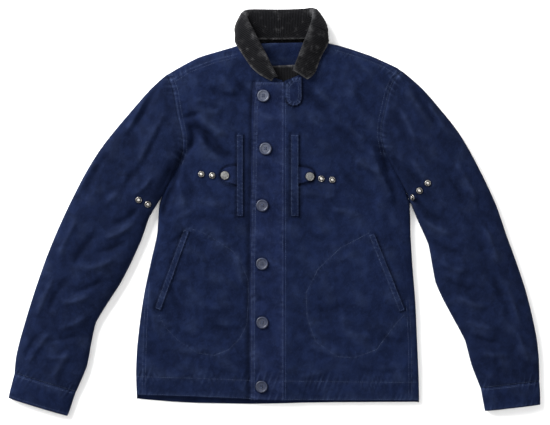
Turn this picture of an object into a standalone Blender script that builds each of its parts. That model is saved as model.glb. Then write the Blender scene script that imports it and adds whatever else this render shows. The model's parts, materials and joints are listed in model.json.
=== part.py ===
"""Deck jacket, laid flat with its front up.

Units in the tables are millimetres; meshes are written in metres, +Z up.
+X runs to the wearer's left arm, +Y to the collar, and z = 0 is the table.
Each piece of cloth is a wall of its own. Its outer face is a grid of points
worked out from the jacket's outline, its fullness and its largest folds, and
the inner face lies one cloth thickness inside it.
"""

import math

import bmesh
import bpy
import numpy as np
from mathutils import Vector
from mathutils.bvhtree import BVHTree

MM = 0.001

# Cloth thicknesses and clearances
CLOTH = 1.4
CORDUROY = 2.2
BAND = 1.9
WELT = 1.5
SEAM_GAP = 0.3
ARMHOLE_GAP = 1.1
UNDER_ARMHOLE_GAP = 1.9

# Half the height of a folded side edge, and how far the fold's rounding reaches
FOLD = 6.0
FOLD_REACH = 30.0
FOLD_POWER = 2.7
UNDER_RADIUS = 6.0

# A fold's edge keeps facing outward until this much of it is left
LEAN_HOLD = 3.0

# Cloth that is nearer to the table, or nearer to level, than this lies flat on it
FLAT_HEIGHT = 0.06
FLAT_NORMAL = 0.9995

# Levels where a side edge changes from a fold to the seam round the arm
UNDERARM_LOW = 84.0
UNDERARM_HIGH = 128.0

# Buttons and press studs
BUTTON_RADIUS = 11.0
BUTTON_HEIGHT = 3.2
BUTTON_DISH = 1.1
BUTTON_SIDES = 18
BUTTON_HOLE = 1.0
BUTTON_HOLE_RING = 2.3
HOLE_SIDES = 5
CAP_RADIUS = 7.8
CAP_SIDES = 16
STUD_RADIUS = 5.5
STUD_SIDES = 12
# Columns: radius, height. Outer face of a button from its underside to its dished middle
BUTTON_RIM = (
    (BUTTON_RADIUS - 1.4, 0.0), (BUTTON_RADIUS, 1.1), (BUTTON_RADIUS - 0.5, BUTTON_HEIGHT - 0.5),
    (BUTTON_RADIUS - 1.5, BUTTON_HEIGHT), (BUTTON_RADIUS - 3.4, BUTTON_HEIGHT - BUTTON_DISH),
)
# Columns: radius, height. A press-stud cap, and a spare stud with its nub
CAP_PROFILE = (
    (CAP_RADIUS - 0.8, 0.0), (CAP_RADIUS, 0.8), (CAP_RADIUS - 0.5, 1.6), (CAP_RADIUS - 2.6, 2.1), (2.2, 2.6),
)
STUD_PROFILE = ((STUD_RADIUS, 0.0), (STUD_RADIUS - 0.5, 1.3), (3.2, 0.9), (2.0, 2.4), (1.1, 3.4))

# Columns: level y, edge x. Side of the body on the wearer's right, hem to shoulder tip
SIDE_RIGHT = (
    (-346, -254), (-300, -256), (-255, -254), (-211, -249), (-178, -245), (-144, -239),
    (-111, -232), (-89, -227), (-66, -222), (-44, -216), (-22, -214), (0, -214.5),
    (18, -212), (33, -206), (59, -191.5), (87, -178.5), (111, -170), (139, -168),
    (170, -176.5), (189, -180.5), (222, -185), (254, -197),
)
# Columns: level y, edge x. Side on the wearer's left
SIDE_LEFT = (
    (-351, 267), (-300, 266), (-255, 264), (-211, 262), (-160, 260), (-122, 256),
    (-89, 254), (-66, 252.5), (-33, 250.5), (-8, 250.5), (16, 250), (30, 246),
    (50, 236), (78, 221), (100, 209), (115, 201), (139, 197), (163, 198.5),
    (189, 204.5), (220, 211), (242, 220), (260, 234),
)
# Columns: x, y along the shoulder edge, shoulder tip to neck point
SHOULDER_RIGHT = ((-197, 254), (-177, 266), (-158, 277), (-136, 288), (-114, 294), (-92, 299), (-56, 311))
SHOULDER_LEFT = ((88, 313), (117, 309), (143, 300), (178, 288.5), (203, 277), (227, 266), (234, 260))
NECK_RIGHT_X = -56.0
NECK_LEFT_X = 88.0
# How far the back's neck edge stands off the table
NECK_LIFT = 7.5
NECK_LIFT_LOW = 264.0
NECK_LIFT_HIGH = 312.0
# Widths over which the shoulder's fold and the neck's lift fade in beside the neck
NECK_FADE_OUT = 4.0
NECK_FADE_IN = 14.0
LIFT_FADE_OUT = 24.0
LIFT_FADE_IN = 20.0

# Columns: x, y along the hem of the fronts and of the longer back
FRONT_HEM = ((-254, -338), (-150, -341), (-45, -346), (18, -348), (140, -348), (267, -348))
BACK_HEM = ((-254, -345), (-200, -350), (-150, -353), (-28, -355), (75, -352), (267, -351))

# Columns: level y, x of the free edge of the placket
PLACKET_EDGE = ((-350, -45.5), (-70, -45), (78, -42), (189, -40), (239, -34.5))
PLACKET_TOP_Y = 238.5
PLACKET_SEAM_X = 17.9
UNDERLAP_X = 15.0
PLACKET_THICK = 2.0
PLACKET_GAP = 0.45
LEFT_FRONT_X = 18.4
# How far the lapping front takes to settle from the placket to its own level
LAP_SETTLE = 46.0

# Columns: x of the middle, y of the middle, spread in x, spread in y, height.
# The fullness of the body over its folded edges
BODY_FULLNESS = (
    (-10, 150, 190, 150, 6.0),
    (30, -60, 230, 190, 3.5),
    (-150, 190, 60, 60, 2.5),
    (170, 195, 60, 60, 2.5),
    (15, 265, 75, 45, 3.0),
)
BODY_HEIGHT = 13.0
# How far the fronts sink at the hem, and between which levels they do
HEM_SINK = 4.0
HEM_SINK_HIGH = -300.0
HEM_SINK_LOW = -345.0
# Share of an upright distance that is square to the sloping shoulder
SHOULDER_SLOPE = 0.93
# Points this near to the side edge count as on it
SIDE_SLACK = 0.15
# A fold keeps its height over this share of its length each way, then tapers
FOLD_PLATEAU = 0.32
FOLD_TAPER = 0.6

# Columns: start x, start y, end x, end y, half width, height (troughs are negative).
# The largest folds of the body
BODY_FOLDS = (
    (-158, 140, -78, 82, 17, -3.6),
    (-150, 108, -110, 98, 14, 2.6),
    (-165, 190, -120, 150, 16, 2.4),
    (-112, 214, -58, 200, 14, -2.6),
    (-150, 236, -90, 228, 15, 2.2),
    (-130, 60, -95, -10, 20, 2.2),
    (-195, 28, -120, 8, 16, -2.6),
    (-150, -212, -60, -196, 18, -3.0),
    (-205, -235, -120, -282, 16, -2.4),
    (-120, -140, -75, -110, 18, 2.0),
    (-205, -60, -180, -150, 15, 2.0),
    (62, 232, 118, 176, 14, -3.0),
    (92, 236, 160, 214, 15, 2.4),
    (118, 176, 160, 190, 13, 2.6),
    (128, 150, 168, 92, 16, -3.2),
    (166, 150, 190, 108, 13, 2.6),
    (140, 66, 196, 36, 15, -3.0),
    (60, 20, 150, 8, 18, 2.4),
    (80, -18, 190, -30, 16, -2.4),
    (58, -30, 74, -90, 14, -2.0),
    (110, -232, 190, -262, 18, 2.4),
    (190, -210, 245, -252, 15, -2.6),
    (40, -262, 140, -300, 16, -1.8),
)

# Columns: outer x, outer y, inner x, inner y, height. Sleeve rows, arm seam to cuff
SLEEVE_RIGHT = (
    (-197, 254, -170, 111, 17), (-227, 228, -178.5, 87, 21), (-260, 191, -191.5, 59, 22),
    (-295, 150, -206, 33, 22), (-325, 111, -217, 14, 22), (-351, 68, -232, -11, 22),
    (-378, 15, -245, -50, 21), (-402, -37, -264, -92, 21), (-423, -89, -284, -131, 20),
    (-441, -141, -308, -168, 20), (-455, -185, -330, -204, 19), (-469, -233, -339, -246, 18),
    (-477, -266, -346, -285, 17), (-480, -296, -366, -331, 15),
)
SLEEVE_LEFT = (
    (234, 260, 209, 100, 17), (271, 229, 222, 76, 21), (306, 189, 236, 50, 22),
    (339, 148, 246, 30, 22), (365, 104, 253, 12, 22), (388, 59, 265, -17, 22),
    (410, 11, 284, -59, 21), (426, -37, 290, -92, 21), (445, -89, 297, -130, 20),
    (462, -139, 312, -163, 20), (475, -189, 332, -200, 19), (484, -233, 352, -237, 18),
    (488, -270, 363, -281, 17), (489, -311, 380, -324, 15),
)
# Columns: start x, start y, end x, end y, half width, height
SLEEVE_RIGHT_FOLDS = (
    (-262, 185, -338, 62, 12, 2.4),
    (-236, 205, -292, 70, 12, -2.8),
    (-200, 108, -236, 30, 12, 2.6),
    (-222, 150, -262, 96, 14, 2.0),
    (-286, 22, -352, -128, 12, -2.4),
    (-330, 40, -392, -88, 13, 2.0),
    (-300, -60, -368, -196, 12, 2.0),
    (-372, -128, -422, -262, 13, -2.0),
    (-398, -150, -452, -250, 12, 1.8),
    (-345, -210, -362, -290, 10, -1.8),
)
SLEEVE_LEFT_FOLDS = (
    (232, 252, 292, 158, 9, 2.8),
    (292, 158, 322, 52, 10, 2.4),
    (224, 205, 262, 96, 13, -3.0),
    (300, 200, 350, 96, 14, 2.0),
    (286, 66, 340, -60, 12, -2.2),
    (352, 30, 410, -110, 13, 2.0),
    (312, -40, 366, -182, 12, 2.0),
    (392, -90, 440, -250, 12, -2.2),
    (430, -110, 468, -240, 12, 1.8),
    (382, -190, 400, -296, 10, 1.6),
)
SLEEVE_COLUMNS = 13
SLEEVE_FINE_ROWS = 13
UNDER_FINE_ROWS = 4
UNDER_SHARES = (0, 0.006, 0.02, 0.05, 0.1, 0.18, 0.3, 0.5, 0.67, 0.77, 0.85, 0.92, 0.965, 0.99, 1.0)
SLEEVE_POWER = 2.9
# How far each of the first rows still follows the seam round the arm
ARMHOLE_SHARES = (1.0, 0.5, 0.16, 0.04)

# Columns: outer x, outer y, inner x, inner y, height. Cuff rows, sleeve end to hand
CUFF_RIGHT = (
    (-480.3, -296.9, -366.3, -331.9, 15), (-487, -322, -373.5, -354, 14.5),
    (-491, -343, -382, -376, 13.5),
)
CUFF_LEFT = (
    (489.1, -311.9, 380.1, -324.9, 15), (491, -333, 384, -346, 14.5), (491, -355, 388, -367, 13.5),
)
CUFF_COLUMNS = 12
# Shares of the width at which the under side of a cuff has its points
CUFF_UNDER_SHARES = (0.985, 0.94, 0.8, 0.5, 0.2, 0.06, 0.015)

# Columns: roll x, y, z, edge x, y, z, seam x, y, z, turn in degrees, roll radius, bow.
# Collar stations from the wearer's right front round the neck to the left front.
# The fall hangs from the roll to its free edge, the stand goes from the roll to the neck seam
COLLAR = (
    (3, 247.5, 26.5, -5, 240.5, 23.5, -4, 249.5, 19.5, 0, 2.4, 0.5),
    (-7, 264, 27, -24, 250, 22.3, -16, 259.5, 18, 0, 3.0, 2.0),
    (-18, 287, 27.5, -41, 264, 20, -33, 274.5, 16.5, 0, 3.4, 2.5),
    (-31, 310, 28, -56, 286, 19, -47, 294.5, 16, 5, 3.6, 2.5),
    (-44, 336, 27, -68, 304, 17.5, -55.5, 314.5, 14, 15, 4.0, 4.0),
    (-57, 362, 20, -71, 320, 9, -54, 320, 12, 80, 5.0, 9.0),
    (-42, 367, 8.2, -38, 309, 1.2, -40, 318.5, 9.5, 178, 7.0, 0.0),
    (10, 366, 8.2, 10, 298, 1.2, 10, 318, 9, 180, 7.0, 0.0),
    (60, 368, 8.2, 62, 309, 1.2, 66, 319, 9.5, 182, 7.0, 0.0),
    (75, 368, 20, 98, 321, 9, 84, 322, 12, 280, 5.0, 9.0),
    (69, 341, 27, 97, 306, 17.5, 86.5, 316.5, 14, 345, 4.0, 4.0),
    (58, 313, 28, 86, 287, 19, 76, 299, 16, 355, 3.6, 2.5),
    (49, 290, 27.5, 79, 268, 20.5, 67, 281, 16.5, 360, 3.4, 2.5),
    (41.5, 271, 26.5, 72, 252, 21, 59, 264.5, 17, 360, 3.2, 2.0),
    (35.5, 257, 26, 60, 243, 23.5, 50, 254.5, 17.5, 360, 2.8, 1.0),
)
COLLAR_STEPS = 2
COLLAR_PLY_POINTS = 4
COLLAR_ROLL_POINTS = 4


def hermite(keys, values, at):
    """Smooth curve through (keys, values), read at `at`."""
    keys = np.asarray(keys, float)
    values = np.asarray(values, float)
    at = np.clip(np.asarray(at, float), keys[0], keys[-1])
    slopes = np.gradient(values, keys)
    index = np.clip(np.searchsorted(keys, at, side="right") - 1, 0, len(keys) - 2)
    span = keys[index + 1] - keys[index]
    t = (at - keys[index]) / span
    start = values[index] * (1 + 2 * t) * (1 - t) ** 2 + slopes[index] * span * t * (1 - t) ** 2
    end = values[index + 1] * t * t * (3 - 2 * t) - slopes[index + 1] * span * t * t * (1 - t)
    return start + end


def column(table, index):
    """One named column of a table."""
    return np.array([row[index] for row in table], float)


def smooth(low, high, value):
    """0 below `low`, 1 above `high`, smooth between."""
    t = np.clip((np.asarray(value, float) - low) / (high - low), 0, 1)
    return t * t * (3 - 2 * t)


def side_right(y):
    """Side edge of the body on the wearer's right at level y."""
    return hermite(column(SIDE_RIGHT, 0), column(SIDE_RIGHT, 1), y)


def side_left(y):
    """Side edge of the body on the wearer's left at level y."""
    return hermite(column(SIDE_LEFT, 0), column(SIDE_LEFT, 1), y)


def shoulder_y(x):
    """Level of the shoulder edge, straight over the neck between the two shoulders."""
    edge = SHOULDER_RIGHT + SHOULDER_LEFT
    return np.interp(x, column(edge, 0), column(edge, 1))


def rise(distance, reach, power):
    """Rounding of a folded edge: 0 at the fold, 1 from `reach` inwards."""
    share = 1 - np.clip(np.asarray(distance, float) / reach, 0, 1)
    return (1 - share ** power) ** (1 / power)


def folds_height(folds, x, y):
    """Height that the listed folds add at (x, y)."""
    total = np.zeros(np.broadcast(x, y).shape)
    for x0, y0, x1, y1, width, height in folds:
        run = math.hypot(x1 - x0, y1 - y0)
        along = ((x - x0) * (x1 - x0) + (y - y0) * (y1 - y0)) / run ** 2
        across = ((x - x0) * (y1 - y0) - (y - y0) * (x1 - x0)) / run
        ends = np.clip(np.abs(along - 0.5) - FOLD_PLATEAU, 0, None) * run / width
        total = total + height * np.exp(-(across / width) ** 2 - FOLD_TAPER * ends ** 2)
    return total


def body_fold_share(y):
    """1 where the side is a folded edge, 0 where it is the seam round the arm."""
    return 1 - smooth(UNDERARM_LOW, UNDERARM_HIGH, y)


def body_edges(x, y):
    """Distances to the nearer side and to the shoulder edge, and the shoulder's share."""
    to_side = np.minimum(x - side_right(y), side_left(y) - x)
    to_shoulder = (shoulder_y(x) - y) * SHOULDER_SLOPE
    past_right = smooth(NECK_RIGHT_X - NECK_FADE_OUT, NECK_RIGHT_X + NECK_FADE_IN, x)
    past_left = smooth(NECK_LEFT_X - NECK_FADE_IN, NECK_LEFT_X + NECK_FADE_OUT, x)
    beside_neck = 1 - past_right * (1 - past_left)
    return np.clip(to_side - SIDE_SLACK, 0, None), np.clip(to_shoulder, 0, None), beside_neck


def body_top(x, y):
    """Outer surface of the two fronts."""
    x = np.asarray(x, float)
    y = np.asarray(y, float)
    height = BODY_HEIGHT + folds_height(BODY_FOLDS, x, y) - HEM_SINK * smooth(HEM_SINK_HIGH, HEM_SINK_LOW, y)
    for cx, cy, sx, sy, gain in BODY_FULLNESS:
        height = height + gain * np.exp(-((x - cx) / sx) ** 2 - ((y - cy) / sy) ** 2)
    to_side, to_shoulder, beside_neck = body_edges(x, y)
    side = 1 - body_fold_share(y) * (1 - rise(to_side, FOLD_REACH, FOLD_POWER))
    shoulder = 1 - beside_neck * (1 - rise(to_shoulder, FOLD_REACH, FOLD_POWER))
    return FOLD + (height - FOLD) * side * shoulder


def body_under(x, y):
    """Outer surface of the back: flat on the table, turned up at its folded edges."""
    x = np.asarray(x, float)
    y = np.asarray(y, float)
    to_side, to_shoulder, beside_neck = body_edges(x, y)
    side = body_fold_share(y) * turn_up(to_side)
    shoulder = beside_neck * turn_up(to_shoulder)
    past_right = smooth(NECK_RIGHT_X - LIFT_FADE_OUT, NECK_RIGHT_X + LIFT_FADE_IN, x)
    past_left = smooth(NECK_LEFT_X - LIFT_FADE_IN, NECK_LEFT_X + LIFT_FADE_OUT, x)
    neck = NECK_LIFT * smooth(NECK_LIFT_LOW, NECK_LIFT_HIGH, y) * past_right * (1 - past_left)
    return np.maximum(np.maximum(side, shoulder), neck)


def turn_up(distance):
    """Quarter round from the table up to the middle of a folded edge."""
    inwards = np.clip(UNDER_RADIUS - distance, 0, UNDER_RADIUS)
    return UNDER_RADIUS - np.sqrt(UNDER_RADIUS ** 2 - inwards ** 2)


def bezier(start, pull_start, pull_end, end, count):
    """Points along a cubic curve, both ends included."""
    t = np.linspace(0, 1, count)[:, None]
    inner = 3 * (1 - t) ** 2 * t * pull_start + 3 * (1 - t) * t * t * pull_end
    return (1 - t) ** 3 * start + inner + t ** 3 * end


def grid_normals(points):
    """Unit normals of a grid of points, to the left of its rows."""
    along = np.gradient(points, axis=0)
    across = np.gradient(points, axis=1)
    normals = np.cross(across, along)
    return normals / np.linalg.norm(normals, axis=2, keepdims=True)


def lean(normals, outward, share):
    """Turn normals towards a level outward direction by a share, for a folded edge."""
    flat = np.array([outward[0], outward[1], 0.0])
    flat = flat / np.linalg.norm(flat)
    share = np.minimum(np.asarray(share, float) * LEAN_HOLD, 1.0)[..., None]
    turned = normals * (1 - share) + flat * share
    return turned / np.linalg.norm(turned, axis=-1, keepdims=True)


def laid_flat(outer):
    """Set the points that all but lie on the table right down onto it."""
    outer[..., 2] = np.where(outer[..., 2] < FLAT_HEIGHT, 0.0, outer[..., 2])
    return outer


def under_normals(outer):
    """Normals of an underside, straight down wherever the cloth is all but level."""
    normals = grid_normals(outer)
    if normals[..., 2].mean() > 0:
        normals = -normals
    normals[normals[..., 2] < -FLAT_NORMAL] = (0.0, 0.0, -1.0)
    return normals


def wall_faces(rows, columns, ring=False):
    """Triangles of a closed wall over a grid; the inner points follow the outer ones."""
    faces = []
    inner = rows * columns
    spans = columns if ring else columns - 1
    for i in range(rows - 1):
        for j in range(spans):
            a = i * columns + j
            b = i * columns + (j + 1) % columns
            c = b + columns
            d = a + columns
            faces += [(a, b, c), (a, c, d)]
            faces += [(inner + a, inner + c, inner + b), (inner + a, inner + d, inner + c)]
    rim = [(j, (j + 1) % columns) for j in range(spans)]
    last = (rows - 1) * columns
    edges = [(b, a) for a, b in rim] + [(last + a, last + b) for a, b in rim]
    if not ring:
        for i in range(rows - 1):
            edges.append((i * columns, (i + 1) * columns))
            edges.append(((i + 2) * columns - 1, (i + 1) * columns - 1))
    for a, b in edges:
        faces += [(a, b, inner + b), (a, inner + b, inner + a)]
    return faces


def material(name, colour, roughness, metallic=0.0):
    """Plain surface finish for one kind of piece."""
    finish = bpy.data.materials.get(name) or bpy.data.materials.new(name)
    finish.use_nodes = True
    shader = finish.node_tree.nodes["Principled BSDF"]
    shader.inputs["Base Color"].default_value = (*colour, 1.0)
    shader.inputs["Roughness"].default_value = roughness
    shader.inputs["Metallic"].default_value = metallic
    return finish


NAVY = ("navy_twill", (0.012, 0.020, 0.060), 0.9)
CHARCOAL = ("charcoal_corduroy", (0.013, 0.013, 0.016), 0.95)
HORN = ("navy_button", (0.025, 0.035, 0.075), 0.45)
SILVER = ("aged_silver", (0.32, 0.31, 0.29), 0.35, 1.0)


def add_object(name, points, faces, finish):
    """Make a named object from points in millimetres, with its faces outward."""
    mesh = bpy.data.meshes.new(name)
    work = bmesh.new()
    corners = [work.verts.new(Vector(p) * MM) for p in points]
    for face in faces:
        work.faces.new([corners[k] for k in face])
    bmesh.ops.recalc_face_normals(work, faces=work.faces)
    if work.calc_volume(signed=True) < 0:
        bmesh.ops.reverse_faces(work, faces=work.faces)
    work.to_mesh(mesh)
    work.free()
    mesh.shade_smooth()
    mesh.set_sharp_from_angle(angle=math.radians(50))
    made = bpy.data.objects.new(name, mesh)
    made.data.materials.append(material(*finish))
    bpy.context.collection.objects.link(made)
    return made


def add_wall(name, outer, normals, thickness, finish, ring=False):
    """A cloth wall: the outer grid of points, and an inner one a thickness inside it."""
    rows, columns = outer.shape[:2]
    points = np.concatenate([outer.reshape(-1, 3), (outer - normals * thickness).reshape(-1, 3)])
    return add_object(name, points.tolist(), wall_faces(rows, columns, ring), finish)


class Surface:
    """The outer face of a panel, for laying patches and fasteners on it."""

    def __init__(self, outer):
        rows, columns = outer.shape[:2]
        self.points = outer.reshape(-1, 3)
        self.faces = [f for f in wall_faces(rows, columns) if max(f) < rows * columns]
        self.tree = BVHTree.FromPolygons(self.points.tolist(), self.faces)

    def drop(self, x, y):
        """Point and upward normal straight below or above (x, y)."""
        place, normal, _, _ = self.tree.ray_cast(Vector((x, y, 200.0)), Vector((0, 0, -1)))
        return place, normal if normal.z > 0 else -normal

    def seat(self, x, y, radius, tilt=None):
        """Where a round piece of this radius rests: its base centre and its axis."""
        centre, _ = self.drop(x, y)
        ring = [self.drop(x + dx * radius, y + dy * radius)[0]
                for dx, dy in ((1, 0), (0, 1), (-1, 0), (0, -1))]
        axis = (ring[0] - ring[2]).cross(ring[1] - ring[3]).normalized()
        if tilt:
            axis = Vector(tilt).normalized()
        reach = 0.0
        for step in range(16):
            angle = step * math.tau / 16
            for share in (0.5, 1.0):
                dx = math.cos(angle) * radius * share
                dy = math.sin(angle) * radius * share
                reach = max(reach, (self.drop(x + dx, y + dy)[0] - centre).dot(axis))
        return centre + axis * (reach + SEAM_GAP), axis

    def patch(self, name, outline, thickness, finish, gap=SEAM_GAP):
        """A flat piece laid on the panel: the panel's own facets inside a convex outline."""
        work = bmesh.new()
        corners = [work.verts.new(Vector(p)) for p in self.points]
        for face in self.faces:
            work.faces.new([corners[k] for k in face])
        for k, (x0, y0) in enumerate(outline):
            x1, y1 = outline[(k + 1) % len(outline)]
            away = Vector((y0 - y1, x1 - x0, 0))
            parts = list(work.verts) + list(work.edges) + list(work.faces)
            bmesh.ops.bisect_plane(work, geom=parts, dist=1e-5, plane_co=Vector((x0, y0, 0)),
                                   plane_no=away, clear_outer=True)
        bmesh.ops.remove_doubles(work, verts=work.verts, dist=0.02)
        bmesh.ops.triangulate(work, faces=work.faces)
        work.verts.index_update()
        low = [v.co + Vector((0, 0, gap)) for v in work.verts]
        high = [v.co + Vector((0, 0, gap + thickness)) for v in work.verts]
        count = len(low)
        faces = [tuple(v.index for v in f.verts) for f in work.faces]
        rims = [tuple(v.index for v in e.verts) for e in work.edges if len(e.link_faces) == 1]
        work.free()
        shell = [tuple(k + count for k in f) for f in faces]
        shell += [tuple(reversed(f)) for f in faces]
        shell += [(a, b, b + count, a + count) for a, b in rims]
        made = add_object(name, low + high, shell, finish)
        triangulate(made)
        return made


def triangulate(made):
    """Split a flat-sided object into triangles."""
    work = bmesh.new()
    work.from_mesh(made.data)
    bmesh.ops.triangulate(work, faces=work.faces)
    work.to_mesh(made.data)
    work.free()


# Distances of the columns and rows next to a folded edge
EDGE_STEPS = (0.0, 1.3, 5.0, 12.0, 24.0)
# The same rows where a column ends on the neck edge, which isn't folded
NECK_STEPS = (0.0, 7.0, 14.0, 21.0, 28.0)
# A column is at least this many times as long as its last step
STEP_ROOM = 1.6
UNDER_STEPS = (0.0, 0.8, 2.5, 6.0, 16.0)
# Levels of the front's rows at its side, hem to upper arm
FRONT_LEVELS = (-345, -325, -295, -262, -228, -194, -160, -126, -92, -60, -30, 0, 24, 48, 72, 96,
                120, 146, 172, 196)
UPPER_SHARES = (0.5, 1.0)
RIGHT_SHARES = (0.2, 0.4, 0.6, 0.78, 0.9)
PLACKET_SHARES = (0.0, 0.27, 0.52, 0.77, 1.0)
LEFT_SHARES = (0.0, 0.115, 0.19, 0.255, 0.32, 0.385, 0.46, 0.56, 0.67, 0.78, 0.89, 1.0)
# Collar stations that the neck columns of each front end on
RIGHT_NECK_STATIONS = (3.4, 2.6, 1.8, 0.9, 0.0)
LEFT_NECK_STATIONS = (14.0, 13.2, 12.4, 11.6, 10.8)
NECK_CENTRE = (15.0, 285.0)
NECK_CLEAR = 1.6
# How far short of the neck point the shoulder's columns end
NECK_END_GAP = 1.5
BACK_LEVELS = (0.0, 0.02, 0.08, 0.17, 0.26, 0.35, 0.44, 0.52, 0.58, 0.62, 0.66, 0.7, 0.74, 0.78, 0.82,
               0.87, 0.92, 0.96, 1.0)
# How far the neck's cut edge leans with the folded shoulders beside it
NECK_LEAN = 0.12
BACK_SHARES = (0.1, 0.2, 0.3, 0.4, 0.5, 0.6, 0.7, 0.8, 0.9)


def neck_point(station):
    """Point of the fronts' neck edge beside a collar station."""
    count = np.arange(len(COLLAR))
    x = float(hermite(count, column(COLLAR, 6), station))
    y = float(hermite(count, column(COLLAR, 7), station))
    away = np.array([x - NECK_CENTRE[0], y - NECK_CENTRE[1]])
    away = away / np.linalg.norm(away) * NECK_CLEAR
    return x + away[0], y + away[1]


def front_rows(plan_x, level_high, top_points, neck_columns):
    """Plan points of a front: rows from the hem to the arm level, then up to the top edge.

    plan_x gives each column's x at a level, level_high its y at the arm level, top_points
    the end of each column on the shoulder or neck edge, and neck_columns which end on the neck.
    """
    low = FRONT_LEVELS[0]
    shares = [(level - low) / (FRONT_LEVELS[-1] - low) for level in FRONT_LEVELS]
    rows = []
    for share, level in zip(shares, FRONT_LEVELS):
        x = plan_x(level)
        y = np.interp(x, column(FRONT_HEM, 0), column(FRONT_HEM, 1))
        rows.append(np.stack([x, y + share * (level_high - y)], axis=1))
    start = rows[-1]
    top = np.array(top_points, float)
    span = top - start
    length = np.linalg.norm(span, axis=1)
    unit = span / length[:, None]
    on_neck = np.zeros(len(top), bool)
    on_neck[neck_columns] = True
    steps = np.where(on_neck[:, None], NECK_STEPS, EDGE_STEPS)
    steps = steps * np.minimum(1.0, length / (STEP_ROOM * steps[:, -1]))[:, None]
    for share in UPPER_SHARES:
        rows.append(start + unit * (share * (length - steps[:, -1]))[:, None])
    for step in reversed(range(len(EDGE_STEPS) - 1)):
        rows.append(top - unit * steps[:, step, None])
    return np.array(rows)


def follow_side(plan, side, columns):
    """Bring the columns beside the arm seam onto the side's own curve above the arm level."""
    first = len(FRONT_LEVELS)
    y = plan[first:, columns[0], 1]
    shift = side(y) - plan[first:, columns[0], 0]
    for place, k in enumerate(columns):
        plan[first:, k, 0] += shift * (1 - place / len(columns))


def with_height(plan, height):
    """Grid of points over a grid of plan points."""
    return np.dstack([plan[..., 0], plan[..., 1], height])


def front_normals(outer, side_column, side_out, shoulder_out):
    """Normals of a front, level at its folded side and shoulder edges."""
    normals = grid_normals(outer)
    if normals[..., 2].mean() < 0:
        normals = -normals
    edge = outer[:, side_column]
    share = body_fold_share(edge[:, 1])
    normals[:, side_column] = lean(normals[:, side_column], side_out, share)
    top = outer[-1]
    share = body_edges(top[:, 0], top[:, 1])[2]
    normals[-1] = lean(normals[-1], shoulder_out, share)
    normals[0] = normals[1]
    return normals


def make_front_right():
    """The front under the placket, on the wearer's right."""
    def plan_x(level):
        side = float(side_right(level))
        edge = float(hermite(column(PLACKET_EDGE, 0), column(PLACKET_EDGE, 1), level))
        beside = [side + step for step in EDGE_STEPS]
        between = [beside[-1] + share * (edge - beside[-1]) for share in RIGHT_SHARES]
        under = [edge + share * (UNDERLAP_X - edge) for share in PLACKET_SHARES]
        return np.array(beside + between + under)

    at_arm = plan_x(FRONT_LEVELS[-1])
    edge_column = len(EDGE_STEPS) + len(RIGHT_SHARES)
    share = np.clip((at_arm - at_arm[0]) / (at_arm[edge_column] - at_arm[0]), 0, 1)
    level_high = FRONT_LEVELS[-1] + share * (PLACKET_TOP_Y - FRONT_LEVELS[-1])
    tip = SHOULDER_RIGHT[0][0]
    last = edge_column - 2
    along = (at_arm[:last + 1] - at_arm[0]) / (at_arm[last] - at_arm[0])
    shoulder_x = tip + along * (NECK_RIGHT_X - NECK_END_GAP - tip)
    top = [(x, float(shoulder_y(x))) for x in shoulder_x]
    first = len(top)
    top += [neck_point(station) for station in RIGHT_NECK_STATIONS]
    top += [(UNDERLAP_X, PLACKET_TOP_Y + 2.5)]
    plan = front_rows(plan_x, level_high, top, range(first, len(top)))
    follow_side(plan, side_right, range(len(EDGE_STEPS) + 2))
    outer = with_height(plan, body_top(plan[..., 0], plan[..., 1]) + SEAM_GAP)
    normals = front_normals(outer, 0, (-1, 0), (-0.45, 0.9))
    add_wall("front_right", outer, normals, CLOTH, NAVY)
    return outer, edge_column


def make_front_left():
    """The front that carries the placket, on the wearer's left."""
    def plan_x(level):
        side = float(side_left(level))
        inner = side - EDGE_STEPS[-1]
        between = [LEFT_FRONT_X + share * (inner - LEFT_FRONT_X) for share in LEFT_SHARES]
        return np.array(between + [side - step for step in reversed(EDGE_STEPS[:-1])])

    at_arm = plan_x(FRONT_LEVELS[-1])
    share = (at_arm - at_arm[0]) / (at_arm[-1] - at_arm[0])
    level_high = PLACKET_TOP_Y + share * (FRONT_LEVELS[-1] - PLACKET_TOP_Y)
    top = [(LEFT_FRONT_X, PLACKET_TOP_Y + 2.0)]
    top += [neck_point(station) for station in LEFT_NECK_STATIONS]
    first = len(top)
    tip = SHOULDER_LEFT[-1][0]
    along = (at_arm[first:] - at_arm[first]) / (at_arm[-1] - at_arm[first])
    shoulder_x = NECK_LEFT_X + NECK_END_GAP + along * (tip - NECK_LEFT_X - NECK_END_GAP)
    top += [(x, float(shoulder_y(x))) for x in shoulder_x]
    plan = front_rows(plan_x, level_high, top, range(first))
    follow_side(plan, side_left, range(-1, -len(EDGE_STEPS) - 3, -1))
    settle = 1 - smooth(LEFT_FRONT_X, LEFT_FRONT_X + LAP_SETTLE, plan[..., 0])
    height = body_top(plan[..., 0], plan[..., 1]) + SEAM_GAP
    outer = with_height(plan, height + settle * (PLACKET_GAP + PLACKET_THICK))
    normals = front_normals(outer, -1, (1, 0), (0.45, 0.9))
    add_wall("front_left", outer, normals, CLOTH, NAVY)
    return outer


def make_placket(front, edge_column):
    """The buttoned strip: the right front's own points beside its edge, moved out."""
    low = front[:len(FRONT_LEVELS), edge_column:].copy()
    low[:, -1, 0] = PLACKET_SEAM_X
    low[..., 2] += PLACKET_GAP
    high = low.copy()
    high[..., 2] += PLACKET_THICK
    rows, columns = low.shape[:2]
    points = np.concatenate([high.reshape(-1, 3), low.reshape(-1, 3)])
    add_object("placket", points.tolist(), wall_faces(rows, columns), NAVY)
    return high


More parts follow.
